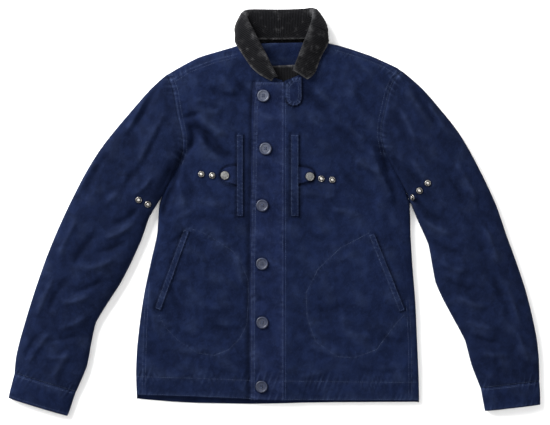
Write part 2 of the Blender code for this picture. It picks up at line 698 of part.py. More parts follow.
def make_back():
    """The back: flat on the table, its side and shoulder edges turned up."""
    tip_right = SHOULDER_RIGHT[0]
    tip_left = SHOULDER_LEFT[-1]

    def back_x(y_right, y_left):
        right = float(side_right(y_right))
        left = float(side_left(y_left))
        low = right + UNDER_STEPS[-1]
        high = left - UNDER_STEPS[-1]
        between = [low + part * (high - low) for part in BACK_SHARES]
        beside = [right + step for step in UNDER_STEPS]
        return np.array(beside + between + [left - step for step in reversed(UNDER_STEPS)])

    rows = []
    low_right, low_left = BACK_HEM[0][1], BACK_HEM[-1][1]
    for share in BACK_LEVELS:
        x = back_x(low_right + share * (tip_right[1] - UNDER_STEPS[-1] - low_right),
                   low_left + share * (tip_left[1] - UNDER_STEPS[-1] - low_left))
        bottom = np.interp(x, column(BACK_HEM, 0), column(BACK_HEM, 1))
        top = shoulder_y(x) - UNDER_STEPS[-1]
        rows.append(np.stack([x, bottom + share * (top - bottom)], axis=1))
    for k in reversed(range(len(UNDER_STEPS) - 1)):
        x = back_x(tip_right[1] - UNDER_STEPS[k], tip_left[1] - UNDER_STEPS[k])
        even = UNDER_STEPS[-1] * k / (len(UNDER_STEPS) - 1)
        in_neck = (x > NECK_RIGHT_X) & (x < NECK_LEFT_X)
        rows.append(np.stack([x, shoulder_y(x) - np.where(in_neck, even, UNDER_STEPS[k])], axis=1))
    plan = np.array(rows)
    for k, step in enumerate(UNDER_STEPS):
        plan[:, k, 0] = side_right(plan[:, k, 1]) + step
        plan[:, -1 - k, 0] = side_left(plan[:, -1 - k, 1]) - step
    outer = with_height(plan, body_under(plan[..., 0], plan[..., 1]))
    over_neck = (outer[..., 0] > NECK_RIGHT_X + 4) & (outer[..., 0] < NECK_LEFT_X - 4)
    outer[..., 2] = np.minimum(outer[..., 2], np.where(over_neck, NECK_LIFT, FOLD - SEAM_GAP))
    outer = laid_flat(outer)
    normals = under_normals(outer)
    for side, out in ((0, (-1, 0)), (-1, (1, 0))):
        edge = outer[:, side]
        share = body_fold_share(edge[:, 1])
        normals[:, side] = lean(normals[:, side], out, share)
    middle = (outer[-1, :, 0] > NECK_RIGHT_X) & (outer[-1, :, 0] < NECK_LEFT_X)
    share = np.where(middle, NECK_LEAN, 1.0)
    outwards = np.where(outer[-1, :, 0] < 0, -0.45, 0.45)
    for k, sideways in enumerate(outwards):
        normals[-1, k] = lean(normals[-1, k], (sideways, 0.9), share[k])
    add_wall("back", outer, normals, CLOTH, NAVY)


def sleeve_rows(table, fine_rows):
    """Smooth rows through a sleeve table, two to each of its first `fine_rows` rows."""
    keys = np.arange(len(table))
    at = np.concatenate([np.arange(0, fine_rows, 0.5), np.arange(fine_rows, len(table))])
    return np.stack([hermite(keys, column(table, k), at) for k in range(5)], axis=1), at


def clear_of_body(x, y, sign, gap):
    """Keep a sleeve point just outside the side of the body; sign is -1 on the wearer's right."""
    if sign < 0:
        return np.minimum(x, side_right(y) - gap)
    return np.maximum(x, side_left(y) + gap)


def sleeve_plan(table, fine_rows, shares, sign, gap):
    """Plan points of a sleeve: rows from the arm seam to the cuff, columns from outer to inner edge."""
    rows, at = sleeve_rows(table, fine_rows)
    side = side_right if sign < 0 else side_left
    plan = []
    follow = np.interp(at, np.arange(len(ARMHOLE_SHARES) + 1), (*ARMHOLE_SHARES, 0.0))
    x0, y0, x1, y1, _ = rows[0]
    seam_y = y0 + shares * (y1 - y0)
    seam_x = side(seam_y) + sign * gap
    bow_x = seam_x - (x0 + shares * (x1 - x0))
    for (ox, oy, ix, iy, _), bow in zip(rows, follow):
        x = ox + shares * (ix - ox) + bow * bow_x
        y = oy + shares * (iy - oy)
        near = oy > UNDERARM_LOW or iy > 0
        plan.append(np.stack([clear_of_body(x, y, sign, gap) if near else x, y], axis=1))
    return np.array(plan), rows, follow


def blend_to_body(height, plan, follow, body):
    """Bring the first rows of a sleeve to the height of the body beside its seam."""
    seam = body(plan[0, :, 0], plan[0, :, 1])
    return height + follow[:, None] * (seam[None, :] - height)


def make_sleeve_top(name, table, folds, sign):
    """Upper half of a sleeve, pillow-shaped across, with its long folds."""
    angle = np.linspace(0, math.pi, SLEEVE_COLUMNS)
    spread = np.sign(np.cos(angle)) * np.abs(np.cos(angle)) ** (2 / SLEEVE_POWER)
    shares = (1 - spread) / 2
    lift = np.abs(np.sin(angle)) ** (2 / SLEEVE_POWER)
    plan, rows, follow = sleeve_plan(table, SLEEVE_FINE_ROWS, shares, sign, ARMHOLE_GAP)
    full = (rows[:, 4] - FOLD)[:, None] * lift[None, :]
    creases = folds_height(folds, plan[..., 0], plan[..., 1]) * lift[None, :] ** 2
    height = blend_to_body(FOLD + full + creases, plan, follow, body_top)
    outer = with_height(plan, height + SEAM_GAP)
    normals = grid_normals(outer)
    if normals[..., 2].mean() < 0:
        normals = -normals
    inner_fold = np.where(plan[:, -1, 1] > UNDERARM_LOW, body_fold_share(plan[:, -1, 1]), 1.0)
    for k in range(len(plan)):
        across = plan[k, 0] - plan[k, -1]
        normals[k, 0] = lean(normals[k, 0], across, 1.0)
        normals[k, -1] = lean(normals[k, -1], -across, inner_fold[k])
    add_wall(name, outer, normals, CLOTH, NAVY)
    return outer


def make_sleeve_under(name, table, sign):
    """Lower half of a sleeve, flat on the table and turned up at both folded edges."""
    plan_shares = np.array(UNDER_SHARES)
    plan, rows, follow = sleeve_plan(table, UNDER_FINE_ROWS, plan_shares, sign,
                                     UNDER_ARMHOLE_GAP)
    width = np.hypot(rows[:, 0] - rows[:, 2], rows[:, 1] - rows[:, 3])
    distance = width[:, None] * np.minimum(plan_shares, 1 - plan_shares)[None, :]
    height = blend_to_body(turn_up(distance), plan, follow, body_under)
    outer = laid_flat(with_height(plan, np.minimum(height, FOLD - SEAM_GAP)))
    normals = under_normals(outer)
    inner_fold = np.where(plan[:, -1, 1] > UNDERARM_LOW, body_fold_share(plan[:, -1, 1]), 1.0)
    for k in range(len(plan)):
        across = plan[k, 0] - plan[k, -1]
        normals[k, 0] = lean(normals[k, 0], across, 1.0)
        normals[k, -1] = lean(normals[k, -1], -across, inner_fold[k])
    add_wall(name, outer, normals, CLOTH, NAVY)


def make_cuff(name, table):
    """A cuff: one closed band round the end of the sleeve."""
    angle = np.linspace(0, math.pi, CUFF_COLUMNS)
    spread = np.sign(np.cos(angle)) * np.abs(np.cos(angle)) ** (2 / SLEEVE_POWER)
    lift = np.abs(np.sin(angle)) ** (2 / SLEEVE_POWER)
    top_shares = (1 - spread) / 2
    low_shares = np.array(CUFF_UNDER_SHARES)
    rows = []
    for ox, oy, ix, iy, high in table:
        width = math.hypot(ox - ix, oy - iy)
        low = turn_up(width * np.minimum(low_shares, 1 - low_shares))
        shares = np.concatenate([top_shares, low_shares])
        height = np.concatenate([FOLD + (high - FOLD) * lift, low])
        rows.append(np.stack([ox + shares * (ix - ox), oy + shares * (iy - oy), height], axis=1))
    outer = np.array(rows)
    around = np.roll(outer, -1, axis=1) - np.roll(outer, 1, axis=1)
    normals = np.cross(around, np.gradient(outer, axis=0))
    normals = normals / np.linalg.norm(normals, axis=2, keepdims=True)
    if normals[:, CUFF_COLUMNS // 2, 2].mean() < 0:
        normals = -normals
    add_wall(name, outer, normals, BAND, NAVY, ring=True)


def collar_section(station):
    """Points across the collar: free edge, fall, roll, stand, neck seam."""
    roll, edge, seam = (np.array(station[k:k + 3]) for k in (0, 3, 6))
    turn, radius, bow = math.radians(station[9]), station[10], station[11]
    inward = np.array([NECK_CENTRE[0] - roll[0], 0.0, 0.0])
    inward = inward / max(np.linalg.norm(inward), 1e-6) * abs(math.sin(turn))
    out = roll - (edge + seam) / 2
    out = out / np.linalg.norm(out)
    stand_side = np.array([0.0, 0.0, -math.cos(turn)]) + inward
    stand_side = stand_side - out * stand_side.dot(out)
    stand_side = stand_side / np.linalg.norm(stand_side)
    fall_end = roll - stand_side * radius
    stand_start = roll + stand_side * radius
    reach = np.linalg.norm(fall_end - edge) * 0.45
    puff = stand_side * bow
    fall = bezier(edge, edge + (fall_end - edge) * 0.3 - puff, fall_end - out * reach - puff,
                  fall_end, COLLAR_PLY_POINTS + 1)
    reach = np.linalg.norm(stand_start - seam) * 0.4
    stand = bezier(stand_start, stand_start - out * reach, seam + (stand_start - seam) * 0.35,
                   seam, COLLAR_PLY_POINTS + 1)
    bend = []
    for k in range(1, COLLAR_ROLL_POINTS):
        angle = math.pi * k / COLLAR_ROLL_POINTS
        bend.append(roll - stand_side * radius * math.cos(angle) + out * radius * math.sin(angle))
    return np.concatenate([fall, np.array(bend), stand])


def make_collar():
    """The corduroy collar: one band that rolls over along its whole length."""
    keys = np.arange(len(COLLAR))
    at = np.linspace(0, len(COLLAR) - 1, (len(COLLAR) - 1) * COLLAR_STEPS + 1)
    stations = np.stack([hermite(keys, column(COLLAR, k), at) for k in range(12)], axis=1)
    middle = np.array([collar_section(station) for station in stations])
    middle[..., 2] = np.maximum(middle[..., 2], CORDUROY / 2)
    normals = grid_normals(middle)
    half = CORDUROY / 2
    outer = middle + normals * half
    return add_wall("collar", outer, normals, CORDUROY, CHARCOAL)


# Corners of the flat pieces laid on the fronts: x, y, clockwise seen from above
CHEST_WELT_RIGHT = ((-69.5, 142), (-57.5, 142), (-57.5, -8), (-69.5, -8))
CHEST_WELT_LEFT = ((29.5, 142), (44.5, 142), (44.5, -8), (29.5, -8))
HAND_WELT_RIGHT = ((-167, -31), (-156.5, -35), (-209, -181), (-220.5, -177))
HAND_WELT_LEFT = ((173, -43), (183.5, -39), (240.5, -180), (229.5, -184))
# Columns: x where the tab leaves its welt, x of its round end, upper y, lower y, end radius
CHEST_TAB_RIGHT = (-69.9, -100.5, 86.0, 50.0, 13.0)
CHEST_TAB_LEFT = (44.9, 74.0, 84.0, 52.0, 12.0)
TAB_END_SPREAD = math.radians(62)
THROAT_TAB = ((20.5, 233), (34, 247), (50.5, 247), (51, 209), (48, 200), (42.5, 195.5), (35, 194),
              (28, 195.5), (22.5, 200), (20, 208))
THROAT_TAB_THICK = 1.8
GUARD_OUTLINE = ((-16, 268), (46, 271), (46, 226), (-16, 226))
# The guard hangs this far off the table, just under the collar that it is sewn to
GUARD_LEVEL = 14.5
# Columns: x, y
BUTTONS = ((-20.5, 213), (-16.5, 116), (-22.5, 12), (-23, -95), (-22.5, -203), (-24, -321))
CAPS = (("right", -91, 67), ("left", 65, 65))
# Columns: x, y of the middle of each spare stud
CHEST_STUDS = (("right_1", -114.5, 67), ("right_2", -134.5, 69.5), ("left_1", 86, 61), ("left_2", 106, 59))
SLEEVE_STUDS = (("right_1", -249, 22, None), ("right_2", -232.5, 14, None), ("left_1", 281, 53, None),
                ("left_2", 266, 39, None), ("left_3", 256.5, 27, (-0.85, -0.1, 0.5)))


def rounded_tab(root_x, end_x, high, low, radius):
    """Outline of a tab that narrows to a round end, clockwise seen from above."""
    sign = 1 if end_x > root_x else -1
    centre_y = (high + low) / 2
    centre_x = end_x - sign * radius
    arc = []
    for step in range(5):
        angle = TAB_END_SPREAD - step * TAB_END_SPREAD / 2
        arc.append((centre_x + sign * radius * math.cos(angle), centre_y + radius * math.sin(angle)))
    outline = [(root_x, high)] + arc + [(root_x, low)]
    return outline if sign > 0 else outline[::-1]


def frame_on(axis):
    """Two level directions across an axis."""
    axis = Vector(axis).normalized()
    across = axis.cross(Vector((0, 1, 0))).normalized()
    return across, axis.cross(across).normalized(), axis


def turned(name, profile, base, axis, finish, sides):
    """A turned piece standing on `base`: profile rows are (radius, height)."""
    across, ahead, axis = frame_on(axis)
    points = []
    for radius, height in profile:
        for k in range(sides):
            angle = math.tau * k / sides
            points.append(base + across * radius * math.cos(angle) + ahead * radius * math.sin(angle)
                          + axis * height)
    faces = []
    for i in range(len(profile) - 1):
        for k in range(sides):
            a = i * sides + k
            b = i * sides + (k + 1) % sides
            faces.append((a, b, b + sides, a + sides))
    faces.append(tuple(reversed(range(sides))))
    last = (len(profile) - 1) * sides
    faces.append(tuple(range(last, last + sides)))
    made = add_object(name, points, faces, finish)
    triangulate(made)
    return made


def make_button(name, surface, x, y):
    """A rimmed button with four holes, flat on the placket."""
    base, axis = surface.seat(x, y, BUTTON_RADIUS)
    across, ahead, axis = frame_on(axis)
    sides = BUTTON_SIDES
    work = bmesh.new()
    rings = []
    for radius, height in BUTTON_RIM:
        ring = []
        for k in range(sides):
            angle = math.tau * k / sides
            place = (base + across * radius * math.cos(angle) + ahead * radius * math.sin(angle)
                     + axis * height)
            ring.append(work.verts.new(place * MM))
        rings.append(ring)
    for low, high in zip(rings, rings[1:]):
        for k in range(sides):
            work.faces.new((low[k], low[(k + 1) % sides], high[(k + 1) % sides], high[k]))
    holes = {"low": [], "high": []}
    for turn in range(4):
        centre_angle = math.tau * (turn + 0.5) / 4
        for key, height in (("low", 0.0), ("high", BUTTON_HEIGHT - BUTTON_DISH)):
            ring = []
            for k in range(HOLE_SIDES):
                angle = math.tau * k / HOLE_SIDES
                side = BUTTON_HOLE_RING * math.cos(centre_angle) + BUTTON_HOLE * math.cos(angle)
                front = BUTTON_HOLE_RING * math.sin(centre_angle) + BUTTON_HOLE * math.sin(angle)
                ring.append(work.verts.new((base + across * side + ahead * front + axis * height) * MM))
            holes[key].append(ring)
    for low, high in zip(holes["low"], holes["high"]):
        for k in range(HOLE_SIDES):
            after = (k + 1) % HOLE_SIDES
            work.faces.new((low[k], high[k], high[after], low[after]))
    for outer, key in ((rings[0], "low"), (rings[-1], "high")):
        edges = [work.edges.get((outer[k], outer[(k + 1) % sides])) for k in range(sides)]
        for ring in holes[key]:
            edges += [work.edges.get((ring[k], ring[(k + 1) % HOLE_SIDES])) for k in range(HOLE_SIDES)]
        bmesh.ops.triangle_fill(work, use_beauty=True, edges=edges)
    bmesh.ops.triangulate(work, faces=work.faces)
    bmesh.ops.recalc_face_normals(work, faces=work.faces)
    if work.calc_volume(signed=True) < 0:
        bmesh.ops.reverse_faces(work, faces=work.faces)
    mesh = bpy.data.meshes.new(name)
    work.to_mesh(mesh)
    work.free()
    mesh.shade_smooth()
    mesh.set_sharp_from_angle(angle=math.radians(40))
    made = bpy.data.objects.new(name, mesh)
    made.data.materials.append(material(*HORN))
    bpy.context.collection.objects.link(made)


def make_stud(name, surface, x, y, tilt=None):
    """A spare press stud: a flat ring with a round nub in its middle."""
    base, axis = surface.seat(x, y, STUD_RADIUS, tilt)
    turned(name, STUD_PROFILE, base, axis, SILVER, STUD_SIDES)


def make_cap(name, surface, x, y, lift):
    """A press-stud cap on its tab: a low dome with a rolled rim."""
    base, axis = surface.seat(x, y, CAP_RADIUS)
    turned(name, CAP_PROFILE, base + axis * lift, axis, SILVER, CAP_SIDES)


def make_plate(name, outline, level, thickness, finish):
    """A flat piece of cloth at a level of its own."""
    low = [Vector((x, y, level)) for x, y in outline]
    high = [p + Vector((0, 0, thickness)) for p in low]
    count = len(low)
    faces = [tuple(range(count)), tuple(reversed(range(count, 2 * count)))]
    faces += [(k, (k + 1) % count, (k + 1) % count + count, k + count) for k in range(count)]
    triangulate(add_object(name, low + high, faces, finish))


def clear_scene():
    """Remove the objects that the scene starts with."""
    for thing in list(bpy.data.objects):
        bpy.data.objects.remove(thing, do_unlink=True)


def main():
    """Build the jacket, piece by piece."""
    clear_scene()
    make_back()
    right_grid, edge_column = make_front_right()
    left_grid = make_front_left()
    placket_grid = make_placket(right_grid, edge_column)
    sleeve_right = make_sleeve_top("sleeve_top_right", SLEEVE_RIGHT, SLEEVE_RIGHT_FOLDS, -1)
    sleeve_left = make_sleeve_top("sleeve_top_left", SLEEVE_LEFT, SLEEVE_LEFT_FOLDS, 1)
    make_sleeve_under("sleeve_under_right", SLEEVE_RIGHT, -1)
    make_sleeve_under("sleeve_under_left", SLEEVE_LEFT, 1)
    make_cuff("cuff_right", CUFF_RIGHT)
    make_cuff("cuff_left", CUFF_LEFT)
    make_collar()

    right = Surface(right_grid)
    left = Surface(left_grid)
    placket = Surface(placket_grid)
    right.patch("chest_welt_right", CHEST_WELT_RIGHT, WELT, NAVY)
    left.patch("chest_welt_left", CHEST_WELT_LEFT, WELT, NAVY)
    right.patch("hand_welt_right", HAND_WELT_RIGHT, WELT, NAVY)
    left.patch("hand_welt_left", HAND_WELT_LEFT, WELT, NAVY)
    right.patch("chest_tab_right", rounded_tab(*CHEST_TAB_RIGHT), WELT, NAVY)
    left.patch("chest_tab_left", rounded_tab(*CHEST_TAB_LEFT), WELT, NAVY)
    left.patch("throat_tab", THROAT_TAB, THROAT_TAB_THICK, NAVY)
    make_plate("throat_guard", GUARD_OUTLINE, GUARD_LEVEL, CORDUROY, CHARCOAL)

    fronts = {"right": right, "left": left}
    sleeves = {"right": Surface(sleeve_right), "left": Surface(sleeve_left)}
    for side, x, y in CAPS:
        make_cap("snap_cap_" + side, fronts[side], x, y, WELT + SEAM_GAP)
    for place, x, y in CHEST_STUDS:
        make_stud("chest_stud_" + place, fronts[place.split("_")[0]], x, y)
    for place, x, y, tilt in SLEEVE_STUDS:
        make_stud("sleeve_stud_" + place, sleeves[place.split("_")[0]], x, y, tilt)
    for number, (x, y) in enumerate(BUTTONS, start=1):
        make_button("button_%d" % number, placket, x, y)


main()
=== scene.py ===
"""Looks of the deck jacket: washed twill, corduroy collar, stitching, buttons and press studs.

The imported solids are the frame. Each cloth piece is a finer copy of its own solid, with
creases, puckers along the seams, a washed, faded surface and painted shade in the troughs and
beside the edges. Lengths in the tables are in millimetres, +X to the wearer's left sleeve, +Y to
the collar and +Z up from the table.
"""

from __future__ import annotations

import json
import logging
import math
from dataclasses import dataclass
from enum import Enum
from typing import Any, Iterable, Sequence

import bmesh
import bpy
import numpy as np
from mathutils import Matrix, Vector
from mathutils.bvhtree import BVHTree
from mathutils.kdtree import KDTree

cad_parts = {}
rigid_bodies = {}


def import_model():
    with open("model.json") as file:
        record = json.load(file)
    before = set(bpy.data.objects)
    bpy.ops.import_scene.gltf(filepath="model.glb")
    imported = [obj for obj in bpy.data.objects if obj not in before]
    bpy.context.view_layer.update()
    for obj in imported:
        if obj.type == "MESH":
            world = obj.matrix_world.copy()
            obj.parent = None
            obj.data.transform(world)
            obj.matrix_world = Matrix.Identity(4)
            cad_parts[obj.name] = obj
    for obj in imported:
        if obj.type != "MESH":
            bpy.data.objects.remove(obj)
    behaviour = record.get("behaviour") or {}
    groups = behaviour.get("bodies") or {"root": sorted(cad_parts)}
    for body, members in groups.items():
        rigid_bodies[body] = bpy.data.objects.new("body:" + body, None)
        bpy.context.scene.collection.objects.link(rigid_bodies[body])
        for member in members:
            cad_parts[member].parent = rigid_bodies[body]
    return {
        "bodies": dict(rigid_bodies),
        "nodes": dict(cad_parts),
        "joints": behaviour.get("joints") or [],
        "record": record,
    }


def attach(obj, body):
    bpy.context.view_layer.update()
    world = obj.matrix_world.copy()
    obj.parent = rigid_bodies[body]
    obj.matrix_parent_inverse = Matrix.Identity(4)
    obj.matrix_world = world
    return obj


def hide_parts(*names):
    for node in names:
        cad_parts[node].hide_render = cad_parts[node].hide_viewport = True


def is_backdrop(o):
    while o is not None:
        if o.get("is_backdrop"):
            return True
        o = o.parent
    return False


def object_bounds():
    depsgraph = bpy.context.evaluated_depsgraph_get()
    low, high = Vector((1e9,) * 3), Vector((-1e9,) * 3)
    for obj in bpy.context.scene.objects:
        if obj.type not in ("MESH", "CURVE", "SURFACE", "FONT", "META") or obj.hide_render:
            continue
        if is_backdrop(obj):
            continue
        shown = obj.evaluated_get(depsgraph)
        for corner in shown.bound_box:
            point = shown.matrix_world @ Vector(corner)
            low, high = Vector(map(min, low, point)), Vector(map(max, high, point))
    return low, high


LOG = logging.getLogger("deck_jacket")
MM = 0.001

Point = tuple[float, float]
Colour = tuple[float, float, float]


class Hold(Enum):
    """How a sheet of cloth is held."""

    LAID = "laid"


class NodeGraph:
    """A material's shader nodes under construction."""

    def __init__(self, name: str) -> None:
        """Start a material with a Principled shader."""
        self.material = bpy.data.materials.new(name)
        self.material.use_nodes = True
        self.tree = self.material.node_tree
        self.shader = self.tree.nodes["Principled BSDF"]

    def node(self, kind: str, **settings: Any) -> bpy.types.Node:
        """Add a node and set its properties."""
        made = self.tree.nodes.new(kind)
        for key, value in settings.items():
            setattr(made, key, value)
        return made

    def feed(self, target: bpy.types.NodeSocket, value: Any) -> None:
        """Link a socket, or set a plain value, into a target socket."""
        if isinstance(value, bpy.types.NodeSocket):
            self.tree.links.new(value, target)
        elif hasattr(target.default_value, "__len__") and hasattr(value, "__len__"):
            size = len(target.default_value)
            target.default_value = tuple(value)[:size] if len(value) >= size else (*value, 1.0)
        else:
            target.default_value = value

    def place(self) -> bpy.types.NodeSocket:
        """Object coordinates."""
        return self.node("ShaderNodeTexCoord").outputs["Object"]

    def attribute(self, name: str) -> bpy.types.NodeSocket:
        """A number stored on the piece's points."""
        return self.node("ShaderNodeAttribute", attribute_name=name).outputs["Fac"]

    def reckon(self, operation: str, first: Any, second: Any = 0.0) -> bpy.types.NodeSocket:
        """A Math node.

        Args:
            operation: the node's operation, such as MULTIPLY.
            first: socket or number.
            second: socket or number.

        Returns:
            The result.
        """
        made = self.node("ShaderNodeMath", operation=operation)
        self.feed(made.inputs[0], first)
        self.feed(made.inputs[1], second)
        return made.outputs[0]

    def plus(self, first: Any, second: Any) -> bpy.types.NodeSocket:
        """A sum."""
        return self.reckon("ADD", first, second)

    def times(self, first: Any, second: Any) -> bpy.types.NodeSocket:
        """A product."""
        return self.reckon("MULTIPLY", first, second)

    def clamped(self, value: Any) -> bpy.types.NodeSocket:
        """A value kept from 0 to 1."""
        made = self.node("ShaderNodeClamp")
        self.feed(made.inputs["Value"], value)
        return made.outputs[0]

    def noise(self, vector: Any, scale: float, detail: float = 2.0, rough: float = 0.5,
              distortion: float = 0.0) -> bpy.types.NodeSocket:
        """A noise pattern, as a number from 0 to 1."""
        made = self.node("ShaderNodeTexNoise")
        self.feed(made.inputs["Vector"], vector)
        for key, value in (("Scale", scale), ("Detail", detail), ("Roughness", rough),
                           ("Distortion", distortion)):
            made.inputs[key].default_value = value
        return made.outputs["Fac"]

    def turned(self, vector: Any, angle: float, stretch: Sequence[float]) -> bpy.types.NodeSocket:
        """Coordinates turned about +Z and stretched."""
        made = self.node("ShaderNodeMapping")
        self.feed(made.inputs["Vector"], vector)
        made.inputs["Rotation"].default_value = (0.0, 0.0, angle)
        made.inputs["Scale"].default_value = tuple(stretch)
        return made.outputs["Vector"]

    def bands(self, vector: Any, period: float, distortion: float) -> bpy.types.NodeSocket:
        """Smooth stripes across X with a period in metres."""
        made = self.node("ShaderNodeTexWave", wave_type="BANDS", bands_direction="X")
        self.feed(made.inputs["Vector"], vector)
        made.inputs["Scale"].default_value = math.tau / (20.0 * period)
        made.inputs["Distortion"].default_value = distortion
        made.inputs["Detail"].default_value = 1.0
        made.inputs["Detail Scale"].default_value = 1.5
        return made.outputs["Fac"]

    def between(self, value: Any, low: float, high: float) -> bpy.types.NodeSocket:
        """A value's place between two limits, clamped and smooth."""
        made = self.node("ShaderNodeMapRange", interpolation_type="SMOOTHSTEP")
        self.feed(made.inputs["Value"], value)
        made.inputs["From Min"].default_value = low
        made.inputs["From Max"].default_value = high
        return made.outputs["Result"]

    def blend(self, share: Any, first: Any, second: Any) -> bpy.types.NodeSocket:
        """A colour between two others."""
        made = self.node("ShaderNodeMix", data_type="RGBA")
        self.feed(made.inputs[0], share)
        self.feed(made.inputs[6], first if not isinstance(first, tuple) else (*first, 1.0))
        self.feed(made.inputs[7], second if not isinstance(second, tuple) else (*second, 1.0))
        return made.outputs[2]

    def relief(self, height: Any, distance: float, strength: float,
               under: Any = None) -> bpy.types.NodeSocket:
        """A bumped normal; `under` is a bump that lies below it."""
        made = self.node("ShaderNodeBump")
        self.feed(made.inputs["Height"], height)
        made.inputs["Distance"].default_value = distance
        made.inputs["Strength"].default_value = strength
        if under is not None:
            self.feed(made.inputs["Normal"], under)
        return made.outputs["Normal"]

    def shade(self, **sockets: Any) -> bpy.types.Material:
        """Set the shader's sockets by name, with _ for a space, and return the material."""
        for key, value in sockets.items():
            self.feed(self.shader.inputs[key.replace("_", " ")], value)
        return self.material


@dataclass(frozen=True)
class TwillFinish:
    """Washed cotton twill: a diagonal weave, mottled and faded where it rubs, and darkened by painted shade
    stored on the piece in troughs and along edges.
    """

    name: str
    deep: Colour
    base: Colour
    faded: Colour
    rib: float = 0.0011
    crumple: float = 0.55

    def build(self) -> bpy.types.Material:
        """Make the material."""
        graph = NodeGraph(self.name)
        place = graph.place()
        cloudy = graph.noise(place, 9.0, 3.0, 0.55)
        mottle = graph.noise(graph.turned(place, 0.0, (1.0, 0.8, 1.0)), 62.0, 4.0, 0.62, 0.4)
        yarn = graph.noise(graph.turned(place, math.radians(-52), (1.0, 0.32, 1.0)), 900.0, 2.0, 0.6)
        rib = graph.bands(graph.turned(place, math.radians(28), (1.0, 1.0, 1.0)), self.rib, 1.2)
        wash = graph.plus(graph.times(graph.between(cloudy, 0.36, 0.68), 0.30),
                          graph.times(graph.between(mottle, 0.34, 0.70), 0.70))
        colour = graph.blend(wash, self.deep, self.base)
        worn = graph.times(graph.attribute("fade"), graph.plus(graph.times(mottle, 1.1), 0.35))
        flecks = graph.times(graph.between(yarn, 0.56, 0.74), 0.16)
        rubbed = graph.times(graph.between(rib, 0.45, 1.0), 0.10)
        lighter = graph.plus(worn, graph.plus(flecks, rubbed))
        colour = graph.blend(graph.clamped(lighter), colour, self.faded)
        # Painted shade: the piece's stored shade number darkens the colour towards a near-black navy,
        # standing in for shade in creases and along edges.
        colour = graph.blend(graph.attribute("painted_shade"), colour, tuple(c * 0.3 for c in self.deep))
        crumple = graph.noise(place, 105.0, 4.0, 0.6, 0.6)
        soft = graph.relief(crumple, 0.0022, self.crumple)
        weave = graph.relief(rib, 0.00022, 0.55, soft)
        fuzz = graph.relief(yarn, 0.00018, 0.5, weave)
        rough = graph.plus(graph.times(mottle, 0.14), 0.76)
        return graph.shade(Base_Color=colour, Roughness=rough, Normal=fuzz, Specular_IOR_Level=0.02,
                           Sheen_Weight=0.02, Sheen_Roughness=0.45, Sheen_Tint=(0.45, 0.55, 0.95, 1.0))


@dataclass(frozen=True)
class CorduroyFinish:
    """Charcoal corduroy: wales along the piece's own `wale` number, rubbed pale on the ridges."""

    name: str
    deep: Colour
    base: Colour
    faded: Colour
    pitch: float = 2.9

    def build(self) -> bpy.types.Material:
        """Make the material."""
        graph = NodeGraph(self.name)
        place = graph.place()
        wander = graph.noise(place, 55.0, 2.0)
        along = graph.plus(graph.attribute("wale"), graph.times(wander, 1.4))
        wave = graph.reckon("SINE", graph.times(along, math.tau / self.pitch))
        ridge = graph.plus(graph.times(wave, 0.5), 0.5)
        pile = graph.noise(place, 1500.0, 2.0, 0.7)
        mottle = graph.noise(place, 85.0, 4.0, 0.65, 0.3)
        nap = graph.times(ridge, graph.plus(graph.times(pile, 0.7), 0.4))
        colour = graph.blend(nap, self.deep, self.base)
        worn = graph.times(graph.attribute("fade"), graph.between(mottle, 0.30, 0.66))
        specks = graph.times(graph.between(mottle, 0.55, 0.74), 0.24)
        colour = graph.blend(graph.plus(worn, specks), colour, self.faded)
        # Painted shade: the piece's stored shade number darkens the colour towards near-black; the corduroy
        # pieces store none.
        colour = graph.blend(graph.attribute("painted_shade"), colour, tuple(c * 0.3 for c in self.deep))
        wales = graph.relief(ridge, 0.0007, 0.8)
        fuzz = graph.relief(pile, 0.0003, 0.55, wales)
        soft = graph.relief(mottle, 0.0012, 0.3, fuzz)
        return graph.shade(Base_Color=colour, Roughness=0.95, Normal=soft, Specular_IOR_Level=0.05,
                           Sheen_Weight=0.04, Sheen_Roughness=0.5, Sheen_Tint=(0.85, 0.85, 0.9, 1.0))


@dataclass(frozen=True)
class ThreadFinish:
    """Sewing thread, a shade lighter than the cloth, unevenly faded."""

    name: str
    base: Colour
    faded: Colour

    def build(self) -> bpy.types.Material:
        """Make the material."""
        graph = NodeGraph(self.name)
        place = graph.place()
        patchy = graph.between(graph.noise(place, 120.0, 3.0, 0.6), 0.38, 0.66)
        colour = graph.blend(patchy, self.base, self.faded)
        twist = graph.bands(graph.turned(place, math.radians(40), (1.0, 1.0, 1.0)), 0.0005, 0.4)
        return graph.shade(Base_Color=colour, Roughness=0.8, Normal=graph.relief(twist, 0.0001, 0.4),
                           Specular_IOR_Level=0.25)


@dataclass(frozen=True)
class ResinFinish:
    """Moulded button resin with faint swirls and scuffs."""

    name: str
    base: Colour
    faded: Colour

    def build(self) -> bpy.types.Material:
        """Make the material."""
        graph = NodeGraph(self.name)
        place = graph.place()
        swirl = graph.noise(place, 170.0, 3.0, 0.55, 1.2)
        scuff = graph.noise(place, 900.0, 3.0, 0.7)
        share = graph.plus(graph.between(swirl, 0.35, 0.7),
                           graph.times(graph.between(scuff, 0.55, 0.8), 0.4))
        colour = graph.blend(graph.times(share, 0.7), self.base, self.faded)
        rough = graph.plus(graph.times(scuff, 0.25), 0.33)
        return graph.shade(Base_Color=colour, Roughness=rough, Normal=graph.relief(scuff, 0.0001, 0.35),
                           Specular_IOR_Level=0.42)


